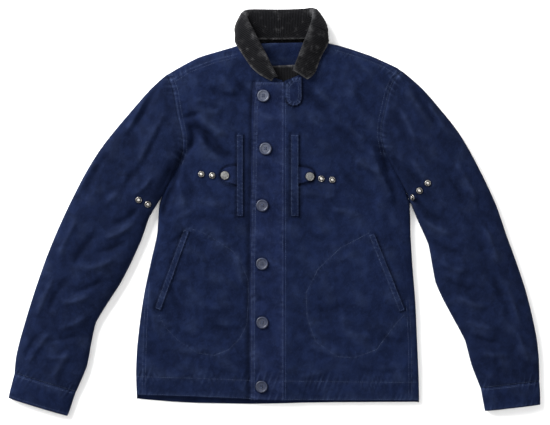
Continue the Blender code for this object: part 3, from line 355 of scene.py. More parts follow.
@dataclass(frozen=True)
class MetalFinish:
    """Aged plated metal, with dull patches and fine scratches."""

    name: str
    bright: Colour
    dull: Colour
    roughness: float

    def build(self) -> bpy.types.Material:
        """Make the material."""
        graph = NodeGraph(self.name)
        place = graph.place()
        tarnish = graph.noise(place, 420.0, 4.0, 0.65, 0.5)
        scratch = graph.noise(graph.turned(place, 0.7, (1.0, 9.0, 1.0)), 900.0, 2.0, 0.6)
        dirty = graph.reckon("SUBTRACT", graph.plus(graph.between(tarnish, 0.30, 0.60), 0.25),
                             graph.attribute("fade"))
        colour = graph.blend(graph.clamped(dirty), self.bright, self.dull)
        rough = graph.plus(graph.times(tarnish, 0.3), self.roughness)
        return graph.shade(Base_Color=colour, Metallic=1.0, Roughness=rough,
                           Normal=graph.relief(scratch, 0.00012, 0.4))


@dataclass(frozen=True)
class PaperFinish:
    """The plain pale floor."""

    name: str
    base: Colour

    def build(self) -> bpy.types.Material:
        """Make the material."""
        graph = NodeGraph(self.name)
        grain = graph.noise(graph.place(), 260.0, 2.0)
        colour = graph.blend(grain, self.base, tuple(c * 0.985 for c in self.base))
        return graph.shade(Base_Color=colour, Roughness=0.9, Specular_IOR_Level=0.1)


@dataclass(frozen=True)
class Crease:
    """One soft ridge of the cloth, or a trough where its height is negative."""

    x0: float
    y0: float
    x1: float
    y1: float
    width: float
    height: float
    bow: float = 0.0
    skew: float = 0.35

    def lift(self, x: np.ndarray, y: np.ndarray) -> np.ndarray:
        """Height that the crease adds at each place."""
        run = math.hypot(self.x1 - self.x0, self.y1 - self.y0)
        dx, dy = (self.x1 - self.x0) / run, (self.y1 - self.y0) / run
        along = ((x - self.x0) * dx + (y - self.y0) * dy) / run
        across = (x - self.x0) * dy - (y - self.y0) * dx
        across = (across - self.bow * 4.0 * along * (1.0 - along)) / self.width
        ends = np.clip(np.abs(along - 0.5) - 0.22, 0.0, None) * run / self.width
        shape = np.exp(-np.abs(across) ** 1.7) * np.clip(1.0 + self.skew * across, 0.2, 2.0)
        return self.height * shape * np.exp(-0.22 * ends ** 2)


def even_steps(path: Sequence[Point], step: float) -> np.ndarray:
    """The points along a path at even steps, in millimetres."""
    points = np.array(path, float)
    gaps = np.linalg.norm(np.diff(points, axis=0), axis=1)
    at = np.concatenate([[0.0], np.cumsum(gaps)])
    even = np.linspace(0.0, at[-1], max(int(at[-1] / step), 2) + 1)
    return np.stack([np.interp(even, at, points[:, k]) for k in range(2)], axis=1)


@dataclass(frozen=True)
class Seam:
    """A sewn line that puckers and fades the cloth beside it, with painted shade in the pucker troughs and a
    painted shadow along it.
    """

    path: tuple[Point, ...]
    reach: float = 9.0
    pucker: float = 0.4
    pitch: float = 11.0
    groove: float = 0.5
    # Wear on the line and the pucker crests; it also sets the painted shade in the pucker troughs.
    fade: float = 0.4
    side: int = 0
    # Strength of the painted shadow laid beside the line.
    shade: float = 0.0

    STEP = 6.0
    GROOVE_WIDTH = 3.0

    def nearest(self, x: np.ndarray, y: np.ndarray) -> tuple[np.ndarray, np.ndarray, np.ndarray]:
        """Which places are near, and their distance along the seam and across it."""
        line = even_steps(self.path, self.STEP)
        margin = self.reach * 2.6 + self.GROOVE_WIDTH
        low, high = line.min(axis=0) - margin, line.max(axis=0) + margin
        near = np.nonzero((x > low[0]) & (x < high[0]) & (y > low[1]) & (y < high[1]))[0]
        best = np.full(len(near), 1e9)
        along = np.zeros(len(near))
        across = np.zeros(len(near))
        for k, (start, end) in enumerate(zip(line, line[1:])):
            step = end - start
            length = float(np.hypot(*step))
            px, py = x[near] - start[0], y[near] - start[1]
            share = np.clip((px * step[0] + py * step[1]) / length ** 2, 0.0, 1.0)
            gap = np.hypot(px - share * step[0], py - share * step[1])
            closer = gap < best
            best[closer] = gap[closer]
            along[closer] = (k + share[closer]) * length
            turn = px * step[1] - py * step[0]
            across[closer] = (np.sign(turn) * gap)[closer]
        kept = best < margin
        return near[kept], along[kept], across[kept]


def ripple(along: np.ndarray, pitch: float) -> np.ndarray:
    """An uneven wave along a seam, from -1 to 1."""
    sway = 1.6 * np.sin(along / (2.3 * pitch)) + 0.9 * np.sin(along / (0.9 * pitch) + 1.3)
    wave = 0.62 * np.sin(math.tau * along / pitch + sway)
    wave = wave + 0.38 * np.sin(math.tau * along / (0.61 * pitch) - 0.7 * sway)
    return wave * (0.62 + 0.38 * np.sin(along / (1.7 * pitch) + 0.6))


@dataclass
class Relief:
    """The height, wear and painted shade that creases and seams give to the upper cloth."""

    creases: list[Crease]
    seams: list[Seam]
    seed: int = 7
    rumple: float = 0.30

    def __post_init__(self) -> None:
        """Draw the small rumples once, from a fixed seed."""
        draw = np.random.default_rng(self.seed)
        waves = []
        for count, low, high, share in ((16, 34.0, 70.0, 1.0), (22, 16.0, 30.0, 0.42)):
            for _ in range(count):
                turn = draw.uniform(0, math.pi)
                length = draw.uniform(low, high)
                phase = draw.uniform(0, math.tau)
                waves.append((math.cos(turn) * math.tau / length, math.sin(turn) * math.tau / length,
                              phase, share / math.sqrt(count)))
        self.waves = waves

    def at(self, x: np.ndarray, y: np.ndarray) -> tuple[np.ndarray, np.ndarray, np.ndarray]:
        """Height, fade and painted shade at each place.

        Args:
            x: places across, in millimetres.
            y: places along, in millimetres.

        Returns:
            Height in millimetres, and fade and painted shade from 0 to 1.
        """
        height = np.zeros(len(x))
        for crease in self.creases:
            height += crease.lift(x, y)
        small = np.zeros(len(x))
        for kx, ky, phase, share in self.waves:
            small += share * np.sin(kx * x + ky * y + phase)
        height += self.rumple * small
        fade = np.clip(0.05 * height + 0.05 * small, 0.0, 0.25)
        # Painted shade: crease troughs are darkened in the colour in proportion to their depth.
        painted_shade = np.clip(-0.10 * height, 0.0, 0.45)
        for seam in self.seams:
            near, along, across = seam.nearest(x, y)
            if not len(near):
                continue
            wave = ripple(along + 0.35 * across, seam.pitch)
            spread = np.exp(-(across / seam.reach) ** 2)
            if seam.side:
                spread = spread * (0.25 + 0.75 * (np.sign(across) == seam.side))
            core = np.exp(-(across / seam.GROOVE_WIDTH) ** 2)
            height[near] += seam.pucker * spread * wave * (1.0 - 0.6 * core) - seam.groove * core
            crest = 0.55 * spread * np.clip(wave, 0.0, 1.0)
            fade[near] += seam.fade * (0.30 * core * (0.6 + 0.4 * wave) + crest)
            # Painted shade: pucker troughs are darkened in the colour, and the seam's shade strength lays a
            # painted shadow beside the line.
            painted_shade[near] += 0.45 * seam.fade * spread * np.clip(-wave, 0.0, 1.0) + seam.shade * spread
        return height, np.clip(fade, 0.0, 1.0), np.clip(painted_shade, 0.0, 1.0)


def linked(name: str, mesh: bpy.types.Mesh) -> bpy.types.Object:
    """A new object in the scene with a mesh."""
    made = bpy.data.objects.new(name, mesh)
    bpy.context.collection.objects.link(made)
    return made


def mesh_from(work: bmesh.types.BMesh, name: str) -> bpy.types.Mesh:
    """A mesh from a finished bmesh, which is freed."""
    mesh = bpy.data.meshes.new(name)
    work.to_mesh(mesh)
    work.free()
    return mesh


def applied(made: bpy.types.Object, modifier: bpy.types.Modifier) -> bpy.types.Mesh:
    """The object's mesh with its modifier's result, and the modifier removed."""
    graph = bpy.context.evaluated_depsgraph_get()
    baked = bpy.data.meshes.new_from_object(made.evaluated_get(graph), depsgraph=graph)
    made.modifiers.remove(modifier)
    return baked


JOIN_FACE_ANGLE = math.radians(35)
JOIN_SHAPE_ANGLE = math.radians(75)
CREASED_ANGLE = math.radians(48)
SPLIT_ROUNDS = 7


def quads_of(source: bpy.types.Object, name: str) -> bpy.types.Mesh:
    """A merged copy of a solid's mesh, its triangles joined and its sharp edges creased."""
    work = bmesh.new()
    work.from_mesh(source.data)
    bmesh.ops.remove_doubles(work, verts=work.verts, dist=2e-6)
    bmesh.ops.join_triangles(work, faces=work.faces, angle_face_threshold=JOIN_FACE_ANGLE,
                             angle_shape_threshold=JOIN_SHAPE_ANGLE)
    layer = work.edges.layers.float.get("crease_edge") or work.edges.layers.float.new("crease_edge")
    for edge in work.edges:
        if len(edge.link_faces) == 2 and edge.calc_face_angle(0.0) > CREASED_ANGLE:
            edge[layer] = 1.0
    return mesh_from(work, name)


def split_long(mesh: bpy.types.Mesh, limit: float) -> None:
    """Cut every edge that is longer than a limit in metres, until none is."""
    work = bmesh.new()
    work.from_mesh(mesh)
    bmesh.ops.triangulate(work, faces=work.faces)
    for _ in range(SPLIT_ROUNDS):
        long_edges = [edge for edge in work.edges if edge.calc_length() > limit]
        if not long_edges:
            break
        bmesh.ops.subdivide_edges(work, edges=long_edges, cuts=1)
        bmesh.ops.triangulate(work, faces=work.faces)
    work.to_mesh(mesh)
    work.free()


def subdivided(mesh: bpy.types.Mesh, name: str, levels: int) -> bpy.types.Object:
    """An object with a subdivided copy of a mesh, with nothing live left on it."""
    made = linked(name, mesh)
    if levels:
        fine = made.modifiers.new("finer", "SUBSURF")
        fine.levels = levels
        fine.render_levels = levels
        made.data = applied(made, fine)
        made.data.name = name
    return made


def places_of(mesh: bpy.types.Mesh) -> np.ndarray:
    """A mesh's points, in millimetres."""
    flat = np.empty(len(mesh.vertices) * 3)
    mesh.vertices.foreach_get("co", flat)
    return flat.reshape(-1, 3) / MM


def move_to(mesh: bpy.types.Mesh, places: np.ndarray) -> None:
    """Set a mesh's points, in millimetres."""
    mesh.vertices.foreach_set("co", (places * MM).ravel())
    mesh.update()


def store(mesh: bpy.types.Mesh, name: str, values: np.ndarray) -> None:
    """Store a number on each of a mesh's points."""
    layer = mesh.attributes.get(name) or mesh.attributes.new(name, "FLOAT", "POINT")
    layer.data.foreach_set("value", values.astype(np.float32))


def finish_mesh(made: bpy.types.Object, material: bpy.types.Material, sharp: float = 46.0) -> None:
    """Give a mesh object its material and smooth shading with sharp edges."""
    made.data.materials.clear()
    made.data.materials.append(material)
    made.data.shade_smooth()
    made.data.set_sharp_from_angle(angle=math.radians(sharp))


def hand_over(made: bpy.types.Object, slot: str, *nodes: str) -> bpy.types.Object:
    """Let a piece ride on the jacket and stand for its solids, which are hidden."""
    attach(made, "root")
    if nodes:
        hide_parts(*nodes)
    return made


# Creases of the upper cloth, finer than those in the solids.
# Columns: start x, start y, end x, end y, half width, height, bow
BODY_CREASES = (
    (-152, 158, -112, 132, 7.5, -2.4, -4), (-122, 136, -76, 100, 7.5, -2.6, 4),
    (-138, 178, -86, 140, 7.5, 1.9, 3), (-142, 140, -92, 92, 7.0, 1.9, 3),
    (-166, 174, -140, 181, 4.5, -1.6, 0), (-150, 190, -90, 186, 6.0, 0.9, 3),
    (-153, 156, -154, 116, 6.5, -2.2, -5), (-158, 118, -184, 48, 8.0, -2.6, 5),
    (-182, 54, -206, -14, 7.0, -2.2, 3),
    (-62, 236, -42, 208, 6.5, -1.7, 0), (192, 128, 210, 66, 7.5, -2.0, -4), (208, 74, 226, 0, 7.0, -1.9, -3),
    (176, 120, 194, 60, 6.5, 1.3, -3), (-70, -60, -56, -150, 6.0, 1.0, 0),
    (-210, -60, -232, -150, 6.0, -1.1, 0),
    (-120, 228, -62, 214, 7.0, -1.4, 5), (-150, 206, -100, 196, 6.0, 1.2, -4),
    (-108, 180, -64, 150, 5.5, 0.9, 4), (-96, 250, -70, 210, 6.0, 1.1, 0),
    (-165, 96, -140, 20, 6.5, -1.5, 4), (-178, 70, -160, 0, 5.0, 1.3, 3),
    (-152, 30, -96, 14, 6.0, 1.1, 5), (-140, -8, -88, -22, 6.5, -1.1, -4),
    (-198, -20, -148, 4, 5.5, 1.1, 0), (-200, -60, -160, -32, 5.0, -0.9, 3),
    (-120, -60, -66, -52, 6.0, 0.9, 4), (-104, -110, -62, -150, 6.5, 1.0, -5),
    (-190, -120, -160, -210, 6.5, -1.2, 5), (-230, -120, -214, -220, 6.0, 1.0, 4),
    (-150, -160, -96, -178, 5.5, 1.0, 3), (-120, -206, -60, -216, 6.5, -1.2, 5),
    (-190, -250, -110, -246, 6.5, 1.1, 6), (-236, -250, -180, -288, 6.0, -1.0, 4),
    (-230, -296, -150, -300, 5.0, 0.9, 4), (-120, -286, -64, -296, 5.0, -0.8, 3),
    (52, 224, 106, 176, 7.0, -1.6, -4), (74, 230, 128, 190, 6.0, 1.3, 3),
    (96, 246, 156, 228, 6.5, 1.0, -4), (150, 226, 190, 176, 6.5, -1.1, 4),
    (60, 186, 96, 150, 6.0, 1.1, 3), (110, 160, 158, 110, 7.0, -1.5, -4),
    (132, 164, 176, 128, 6.0, 1.2, 3), (150, 96, 196, 70, 6.0, 1.2, 0),
    (120, 84, 190, 22, 7.0, -1.3, 5), (196, 70, 226, 20, 6.5, 1.3, 3),
    (60, 40, 112, 30, 5.5, 0.9, 4), (90, 4, 170, -10, 6.0, 1.0, -5),
    (60, -40, 110, -52, 6.0, -1.0, 4), (200, 0, 236, -60, 6.5, -1.0, 4),
    (110, -90, 150, -70, 5.5, 0.8, 3), (56, -110, 100, -130, 6.0, 0.9, -3),
    (190, -90, 236, -130, 6.0, 0.9, 3), (74, -180, 130, -170, 6.5, -1.0, 4),
    (120, -216, 186, -226, 6.5, 1.1, 6), (200, -226, 246, -240, 5.5, -0.9, 3),
    (60, -240, 120, -262, 6.0, 1.0, 4), (150, -286, 236, -292, 6.0, -0.9, 5),
    (40, -300, 96, -292, 5.0, 0.8, 3), (190, -316, 250, -306, 5.0, 0.7, 2),
    (-36, 190, 8, 168, 5.0, 0.7, 3), (-34, 90, 10, 60, 5.0, -0.7, -3),
    (-36, -30, 6, -60, 5.0, 0.7, 3), (-36, -150, 10, -176, 5.0, -0.7, 2), (-36, -250, 8, -280, 5.0, 0.6, 2),
    (-170, 262, -128, 236, 6.0, 1.0, 3), (140, 280, 186, 246, 6.0, 1.0, -3),
)
SLEEVE_CREASES = (
    (-214, 236, -262, 150, 8.0, -1.6, -4), (-232, 224, -284, 130, 6.5, 1.5, -4),
    (-252, 208, -300, 140, 6.0, 1.1, 0), (-196, 190, -232, 110, 7.0, 1.3, 3),
    (-204, 160, -236, 92, 6.0, -1.3, 3), (-226, 130, -262, 60, 6.0, 1.1, 2),
    (-240, 96, -300, 30, 7.0, -1.5, -5), (-222, 66, -262, 26, 5.0, 1.2, -3),
    (-262, 74, -320, 4, 6.0, 1.3, -4), (-296, 120, -350, 20, 7.0, -1.2, 5),
    (-318, 112, -372, 8, 6.0, 1.1, 4), (-246, 10, -300, -26, 6.5, -1.6, -5),
    (-256, -20, -318, -50, 6.0, 1.4, -5), (-268, -52, -336, -78, 6.0, -1.2, -4),
    (-290, -84, -352, -104, 6.0, 1.3, -5), (-318, -30, -372, -108, 7.0, -1.1, 4),
    (-352, 0, -400, -96, 6.0, 1.1, 4), (-312, -122, -372, -150, 6.0, -1.2, -4),
    (-330, -150, -400, -168, 5.5, 1.2, -5), (-370, -110, -420, -196, 6.5, -1.1, 4),
    (-398, -110, -440, -206, 5.5, 1.0, 3), (-340, -190, -400, -214, 6.0, 1.1, -4),
    (-350, -224, -420, -236, 5.5, -1.0, -4), (-404, -214, -456, -286, 6.0, 1.1, 3),
    (-372, -250, -408, -312, 5.5, 1.0, 2), (-428, -216, -462, -276, 5.0, -0.8, 2),
    (-362, -262, -440, -268, 5.0, 0.9, -4),
    (214, 112, 262, 34, 6.5, -1.6, 3), (-186, 96, -214, 34, 6.0, -1.4, -3),
    (240, 240, 296, 150, 8.0, 1.5, 4), (256, 236, 312, 150, 6.5, -1.5, 4),
    (278, 214, 332, 130, 6.0, 1.2, 3), (218, 200, 252, 110, 7.0, -1.3, -3),
    (230, 190, 262, 120, 5.5, 1.1, -3), (248, 110, 300, 40, 7.0, 1.3, 5),
    (236, 90, 286, 44, 6.0, -1.4, 4), (300, 96, 354, 10, 6.5, -1.3, -4),
    (322, 110, 380, 0, 6.0, 1.2, -4), (262, 20, 312, -20, 6.5, -1.5, 5),
    (270, -10, 330, -40, 6.0, 1.3, 5), (286, -50, 348, -80, 6.5, -1.3, 4),
    (296, -84, 356, -110, 6.0, 1.3, 5), (346, 0, 392, -96, 6.5, -1.1, -4),
    (376, -10, 418, -110, 6.0, 1.1, -3), (312, -120, 372, -146, 6.0, -1.2, 4),
    (330, -152, 396, -176, 5.5, 1.2, 4), (396, -110, 440, -210, 6.5, -1.1, -4),
    (420, -120, 458, -230, 5.5, 1.0, -3), (342, -196, 410, -214, 6.0, 1.1, 4),
    (356, -226, 430, -240, 5.5, -1.0, 4), (440, -210, 470, -290, 6.0, 1.0, -3),
    (372, -256, 440, -262, 5.0, 0.9, 4), (400, -240, 416, -306, 5.5, -0.9, -2),
)
CREASE_GAIN = 2.3
# Columns: start x, start y, end x, end y, half width, height. The underside's shallow creases
UNDER_CREASES = (
    (-190, -260, 120, -300, 10, 0.8), (-120, 60, 160, -40, 12, 0.9), (-60, 200, 60, -120, 11, 0.8),
    (40, 180, 210, 40, 10, 0.9), (-200, 20, -60, -180, 11, 0.8), (100, -80, 240, -220, 10, 0.8),
    (-230, 150, -320, 60, 9, 0.8), (-300, -40, -380, -60, 8, 0.8), (-330, -120, -430, -230, 8, 0.7),
    (250, 150, 340, 60, 9, 0.8), (300, -40, 400, -80, 8, 0.8), (350, -150, 470, -250, 8, 0.7),
)
ARMHOLE_RIGHT = ((-197, 254), (-185, 222), (-180, 189), (-176, 170), (-169, 139), (-170, 112), (-178, 88))
ARMHOLE_LEFT = ((234, 260), (220, 242), (211, 220), (204, 189), (198, 163), (197, 139), (204, 108))
SHOULDER_LINE_RIGHT = ((-190, 244), (-158, 264), (-114, 281), (-70, 292))
SHOULDER_LINE_LEFT = ((228, 248), (203, 264), (178, 275), (143, 287), (112, 296))
PLACKET_EDGE = ((-34.5, 238), (-40, 189), (-42, 78), (-45, -70), (-45.5, -348))
HEM_LINE = ((-254, -303), (-150, -306), (-45, -310), (40, -312), (140, -313), (267, -314))
HEM_EDGE = ((-254, -338), (-150, -341), (-45, -346), (18, -348), (140, -348), (267, -348))
POCKET_BAG_RIGHT = (
    (-156, -30), (-129, -39), (-102, -55), (-77, -72), (-62, -91), (-48.5, -126), (-48, -163), (-51, -207),
    (-64, -233), (-84, -253), (-111, -264), (-142, -259), (-179, -235), (-201, -212), (-212, -190),
)
POCKET_BAG_LEFT = (
    (173, -39), (156, -48), (121, -66), (80, -105), (58, -149), (60, -194), (76, -239), (116, -266),
    (147, -268), (188, -253), (208, -226), (224, -205), (238, -190),
)
CHEST_WELT_RIGHT = ((-69.5, 142), (-57.5, 142), (-57.5, -8), (-69.5, -8))
CHEST_WELT_LEFT = ((29.5, 142), (44.5, 142), (44.5, -8), (29.5, -8))
HAND_WELT_RIGHT = ((-167, -31), (-156.5, -35), (-209, -181), (-220.5, -177))
HAND_WELT_LEFT = ((173, -43), (183.5, -39), (240.5, -180), (229.5, -184))
CHEST_TAB_RIGHT = ((-70.5, 87), (-88, 85.5), (-98.5, 78), (-102, 68), (-98.5, 57), (-88, 49), (-70.5, 48.5))
CHEST_TAB_LEFT = ((45.5, 85), (62, 83.5), (72, 77), (75.5, 68), (72, 58), (62, 51.5), (45.5, 50.5))
# Lines beside the welts' long edges, where a painted shadow is laid on the cloth.
EDGE_SHADES = (
    ((-71, 144), (-71, -10)), ((46, 144), (46, -10)), ((28, 144), (28, -10)), ((-56, 142), (-56, -8)),
    ((-168.5, -32), (-222, -177.5)), ((241.5, -179), (185, -38)),
)
THROAT_TAB = ((20.5, 233), (34, 247), (50.5, 247), (51, 209), (48, 200), (42.5, 195.5), (35, 194),
              (28, 195.5), (22.5, 200), (20, 208))
CUFF_SEAM_RIGHT = ((-480.3, -297.5), (-366.3, -332.5))
CUFF_SEAM_LEFT = ((489.1, -312.5), (380.1, -325.5))
CUFF_END_RIGHT = ((-490, -341), (-381, -374))
CUFF_END_LEFT = ((491, -353), (388, -365))
SIDE_SEAM_LEFT = ((250, -163), (254, -240), (255, -340))
SIDE_SEAM_RIGHT = ((-238, -130), (-243, -220), (-246, -335))


def inset(outline: Sequence[Point], step: float) -> tuple[Point, ...]:
    """A convex outline moved inwards, closed on its first point."""
    points = np.array(outline, float)
    centre = points.mean(axis=0)
    moved = []
    for k in range(len(points)):
        before, here, after = points[k - 1], points[k], points[(k + 1) % len(points)]
        sides = []
        for start, end in ((before, here), (here, after)):
            run = (end - start) / np.linalg.norm(end - start)
            inward = np.array([-run[1], run[0]])
            sides.append(inward if inward @ (centre - here) > 0 else -inward)
        both = sides[0] + sides[1]
        moved.append(here + both * step / max(both @ sides[0], 0.35))
    moved.append(moved[0])
    return tuple((float(p[0]), float(p[1])) for p in moved)


def shifted(path: Sequence[Point], step: float) -> tuple[Point, ...]:
    """A path moved sideways, to the left of its run where the step is positive."""
    points = np.array(path, float)
    runs = np.gradient(points, axis=0)
    runs = runs / np.linalg.norm(runs, axis=1, keepdims=True)
    moved = points + np.stack([-runs[:, 1], runs[:, 0]], axis=1) * step
    return tuple((float(p[0]), float(p[1])) for p in moved)


def upper_relief() -> Relief:
    """The creases and seams of the fronts, sleeves and cuffs, with painted shadows beside the placket, tabs,
    welts and fasteners.
    """
    creases = [Crease(*row[:5], CREASE_GAIN * row[5], *row[6:]) for row in BODY_CREASES + SLEEVE_CREASES]
    seams = [
        *(Seam(path, 11.0, 0.75, 12.0, 0.7, 0.55) for path in (ARMHOLE_RIGHT, ARMHOLE_LEFT)),
        *(Seam(path, 8.0, 0.45, 10.0, 0.5, 0.40) for path in (SHOULDER_LINE_RIGHT, SHOULDER_LINE_LEFT)),
        Seam(shifted(PLACKET_EDGE, 5.0), 7.0, 0.30, 9.0, 0.30, 0.50),
        # Painted shadow beside the placket's free edge.
        Seam(shifted(PLACKET_EDGE, -4.0), 4.5, 0.0, 9.0, 0.0, 0.0, 0, 0.55),
        Seam(((14.0, 236), (14.0, -346)), 9.0, 0.42, 12.0, 0.35, 0.30),
        Seam(((-33.0, 235.5), (15.0, 235.5)), 4.5, 0.35, 4.2, 0.35, 0.80),
        Seam(HEM_LINE, 15.0, 0.65, 10.0, 0.7, 0.45),
        Seam(shifted(HEM_EDGE, 4.0), 8.0, 0.35, 11.0, 0.1, 0.45),
        *(Seam(path, 7.5, 0.5, 10.0, 0.5, 0.30) for path in (POCKET_BAG_RIGHT, POCKET_BAG_LEFT)),
        Seam(CUFF_SEAM_RIGHT, 12.0, 0.6, 10.0, 0.6, 0.40),
        Seam(CUFF_SEAM_LEFT, 12.0, 0.6, 10.0, 0.6, 0.50),
        Seam(CUFF_END_RIGHT, 6.0, 0.3, 9.0, 0.2, 0.45),
        Seam(CUFF_END_LEFT, 6.0, 0.3, 9.0, 0.2, 0.60),
        *(Seam(path, 8.0, 0.5, 11.0, 0.5, 0.32) for path in (SIDE_SEAM_LEFT, SIDE_SEAM_RIGHT)),
    ]
    for outline in (CHEST_WELT_RIGHT, CHEST_WELT_LEFT, HAND_WELT_RIGHT, HAND_WELT_LEFT):
        seams.append(Seam(inset(outline, 2.0), 5.0, 0.3, 8.5, 0.15, 0.42))
    seams.append(Seam(inset(THROAT_TAB, 2.5), 6.0, 0.3, 7.0, 0.1, 0.8))
    # Painted shadows round the chest tabs and the throat tab.
    for outline in (CHEST_TAB_RIGHT, CHEST_TAB_LEFT, THROAT_TAB[2:]):
        seams.append(Seam(outline, 2.6, 0.0, 9.0, 0.0, 0.0, 0, 0.75))
    # Painted shadows along the welts' edges.
    for path in EDGE_SHADES:
        seams.append(Seam(path, 3.0, 0.0, 9.0, 0.0, 0.0, 0, 0.5))
    # Painted shadow rings round the buttons and studs.
    for px, py, radius in PINS:
        turns = np.linspace(0.0, math.tau, 13)
        ring = tuple((px + (radius + 0.6) * math.cos(t), py + (radius + 0.6) * math.sin(t)) for t in turns)
        seams.append(Seam(ring, 1.8, 0.0, 9.0, 0.0, 0.0, 0, 0.6))
    return Relief(creases, seams)


# Columns: x, y, radius. The cloth stays at its solid's height under these fasteners
PINS = (
    (-20.5, 213, 11), (-16.5, 116, 11), (-22.5, 12, 11), (-23, -95, 11), (-22.5, -203, 11), (-24, -321, 11),
    (-91, 67, 8), (65, 65, 8), (-114.5, 67, 6), (-134.5, 69.5, 6), (86, 61, 6), (106, 59, 6),
    (-249, 22, 6), (-232.5, 14, 6), (281, 53, 6), (266, 39, 6), (256.5, 27, 6),
)
PIN_FADE = 8.0
COLLAR_ROLL = (
    (3, 247.5, 26.5), (-7, 264, 27), (-18, 287, 27.5), (-31, 310, 28), (-44, 336, 27), (-57, 362, 20),
    (-42, 367, 8.2), (10, 366, 8.2), (60, 368, 8.2), (75, 368, 20), (69, 341, 27), (58, 313, 28),
    (49, 290, 27.5), (41.5, 271, 26.5), (35.5, 257, 26),
)
NECK_SEAMS = (
    ((-30, 303), (-8, 310), (12, 311.5), (32, 310), (50, 304)),
    ((-22, 275), (6, 280), (30, 279.5), (50, 274)),
)


def smooth(values: np.ndarray, low: float, high: float) -> np.ndarray:
    """A smooth step from 0 at the low limit to 1 at the high one."""
    share = np.clip((values - low) / (high - low), 0.0, 1.0)
    return share * share * (3.0 - 2.0 * share)


def pinned(x: np.ndarray, y: np.ndarray) -> np.ndarray:
    """Share of the relief left beside the fasteners, 0 under them."""
    share = np.ones(len(x))
    for px, py, radius in PINS:
        share *= smooth(np.hypot(x - px, y - py), radius, radius + PIN_FADE)
    return share


@dataclass(frozen=True)
class ClothPiece:
    """A thin sheet of cloth that stands for one solid.

    Attributes:
        node: the solid's name.
        flat: width and length of the cut, in metres; not used.
        area: flat area of the cut, in square metres; not used.
        rests_on: pieces or nodes that it lies on; not used.
        levels: how often its mesh is subdivided.
        limit: longest edge in metres before that, or 0 to leave the edges.
        low, high: heights in millimetres between which the relief sets in.
        strength: share of the relief's height that the piece takes.
    """

    node: str
    flat: tuple[float, float]
    area: float
    rests_on: tuple[str, ...] = ()
    levels: int = 3
    limit: float = 0.0
    low: float = 6.3
    high: float = 12.0
    strength: float = 1.0

    def build(self, frame: dict[str, Any], relief: Relief, material: bpy.types.Material) -> bpy.types.Object:
        """Args:
            relief: height, wear and painted shade of the cloth over the table.
            material: the piece's finish.

        Returns:
            The piece.
        """
        mesh = quads_of(frame["nodes"][self.node], f"{self.node}_cloth")
        if self.limit:
            split_long(mesh, self.limit)
        made = subdivided(mesh, f"{self.node}_cloth", self.levels)
        places = places_of(made.data)
        height, fade, painted_shade = relief.at(places[:, 0], places[:, 1])
        places[:, 2] = self.lifted(places, height)
        move_to(made.data, places)
        store(made.data, "fade", fade)
        store(made.data, "painted_shade", painted_shade)
        finish_mesh(made, material)
        hand_over(made, "twill", self.node)
        return made

    def lifted(self, places: np.ndarray, height: np.ndarray) -> np.ndarray:
        """Each point's new height, in millimetres."""
        share = smooth(places[:, 2], self.low, self.high) * pinned(places[:, 0], places[:, 1])
        return np.maximum(places[:, 2] + height * share * self.strength, 0.0)


@dataclass(frozen=True)
class UnderPiece(ClothPiece):
    """A sheet that lies on the table: its creases only rise, and only in its lowest layer."""

    HIGHEST = 0.9

    def lifted(self, places: np.ndarray, height: np.ndarray) -> np.ndarray:
        """Each point's new height, in millimetres."""
        share = 1.0 - smooth(places[:, 2], self.low, self.high)
        return places[:, 2] + np.clip(height, 0.0, self.HIGHEST) * share * self.strength


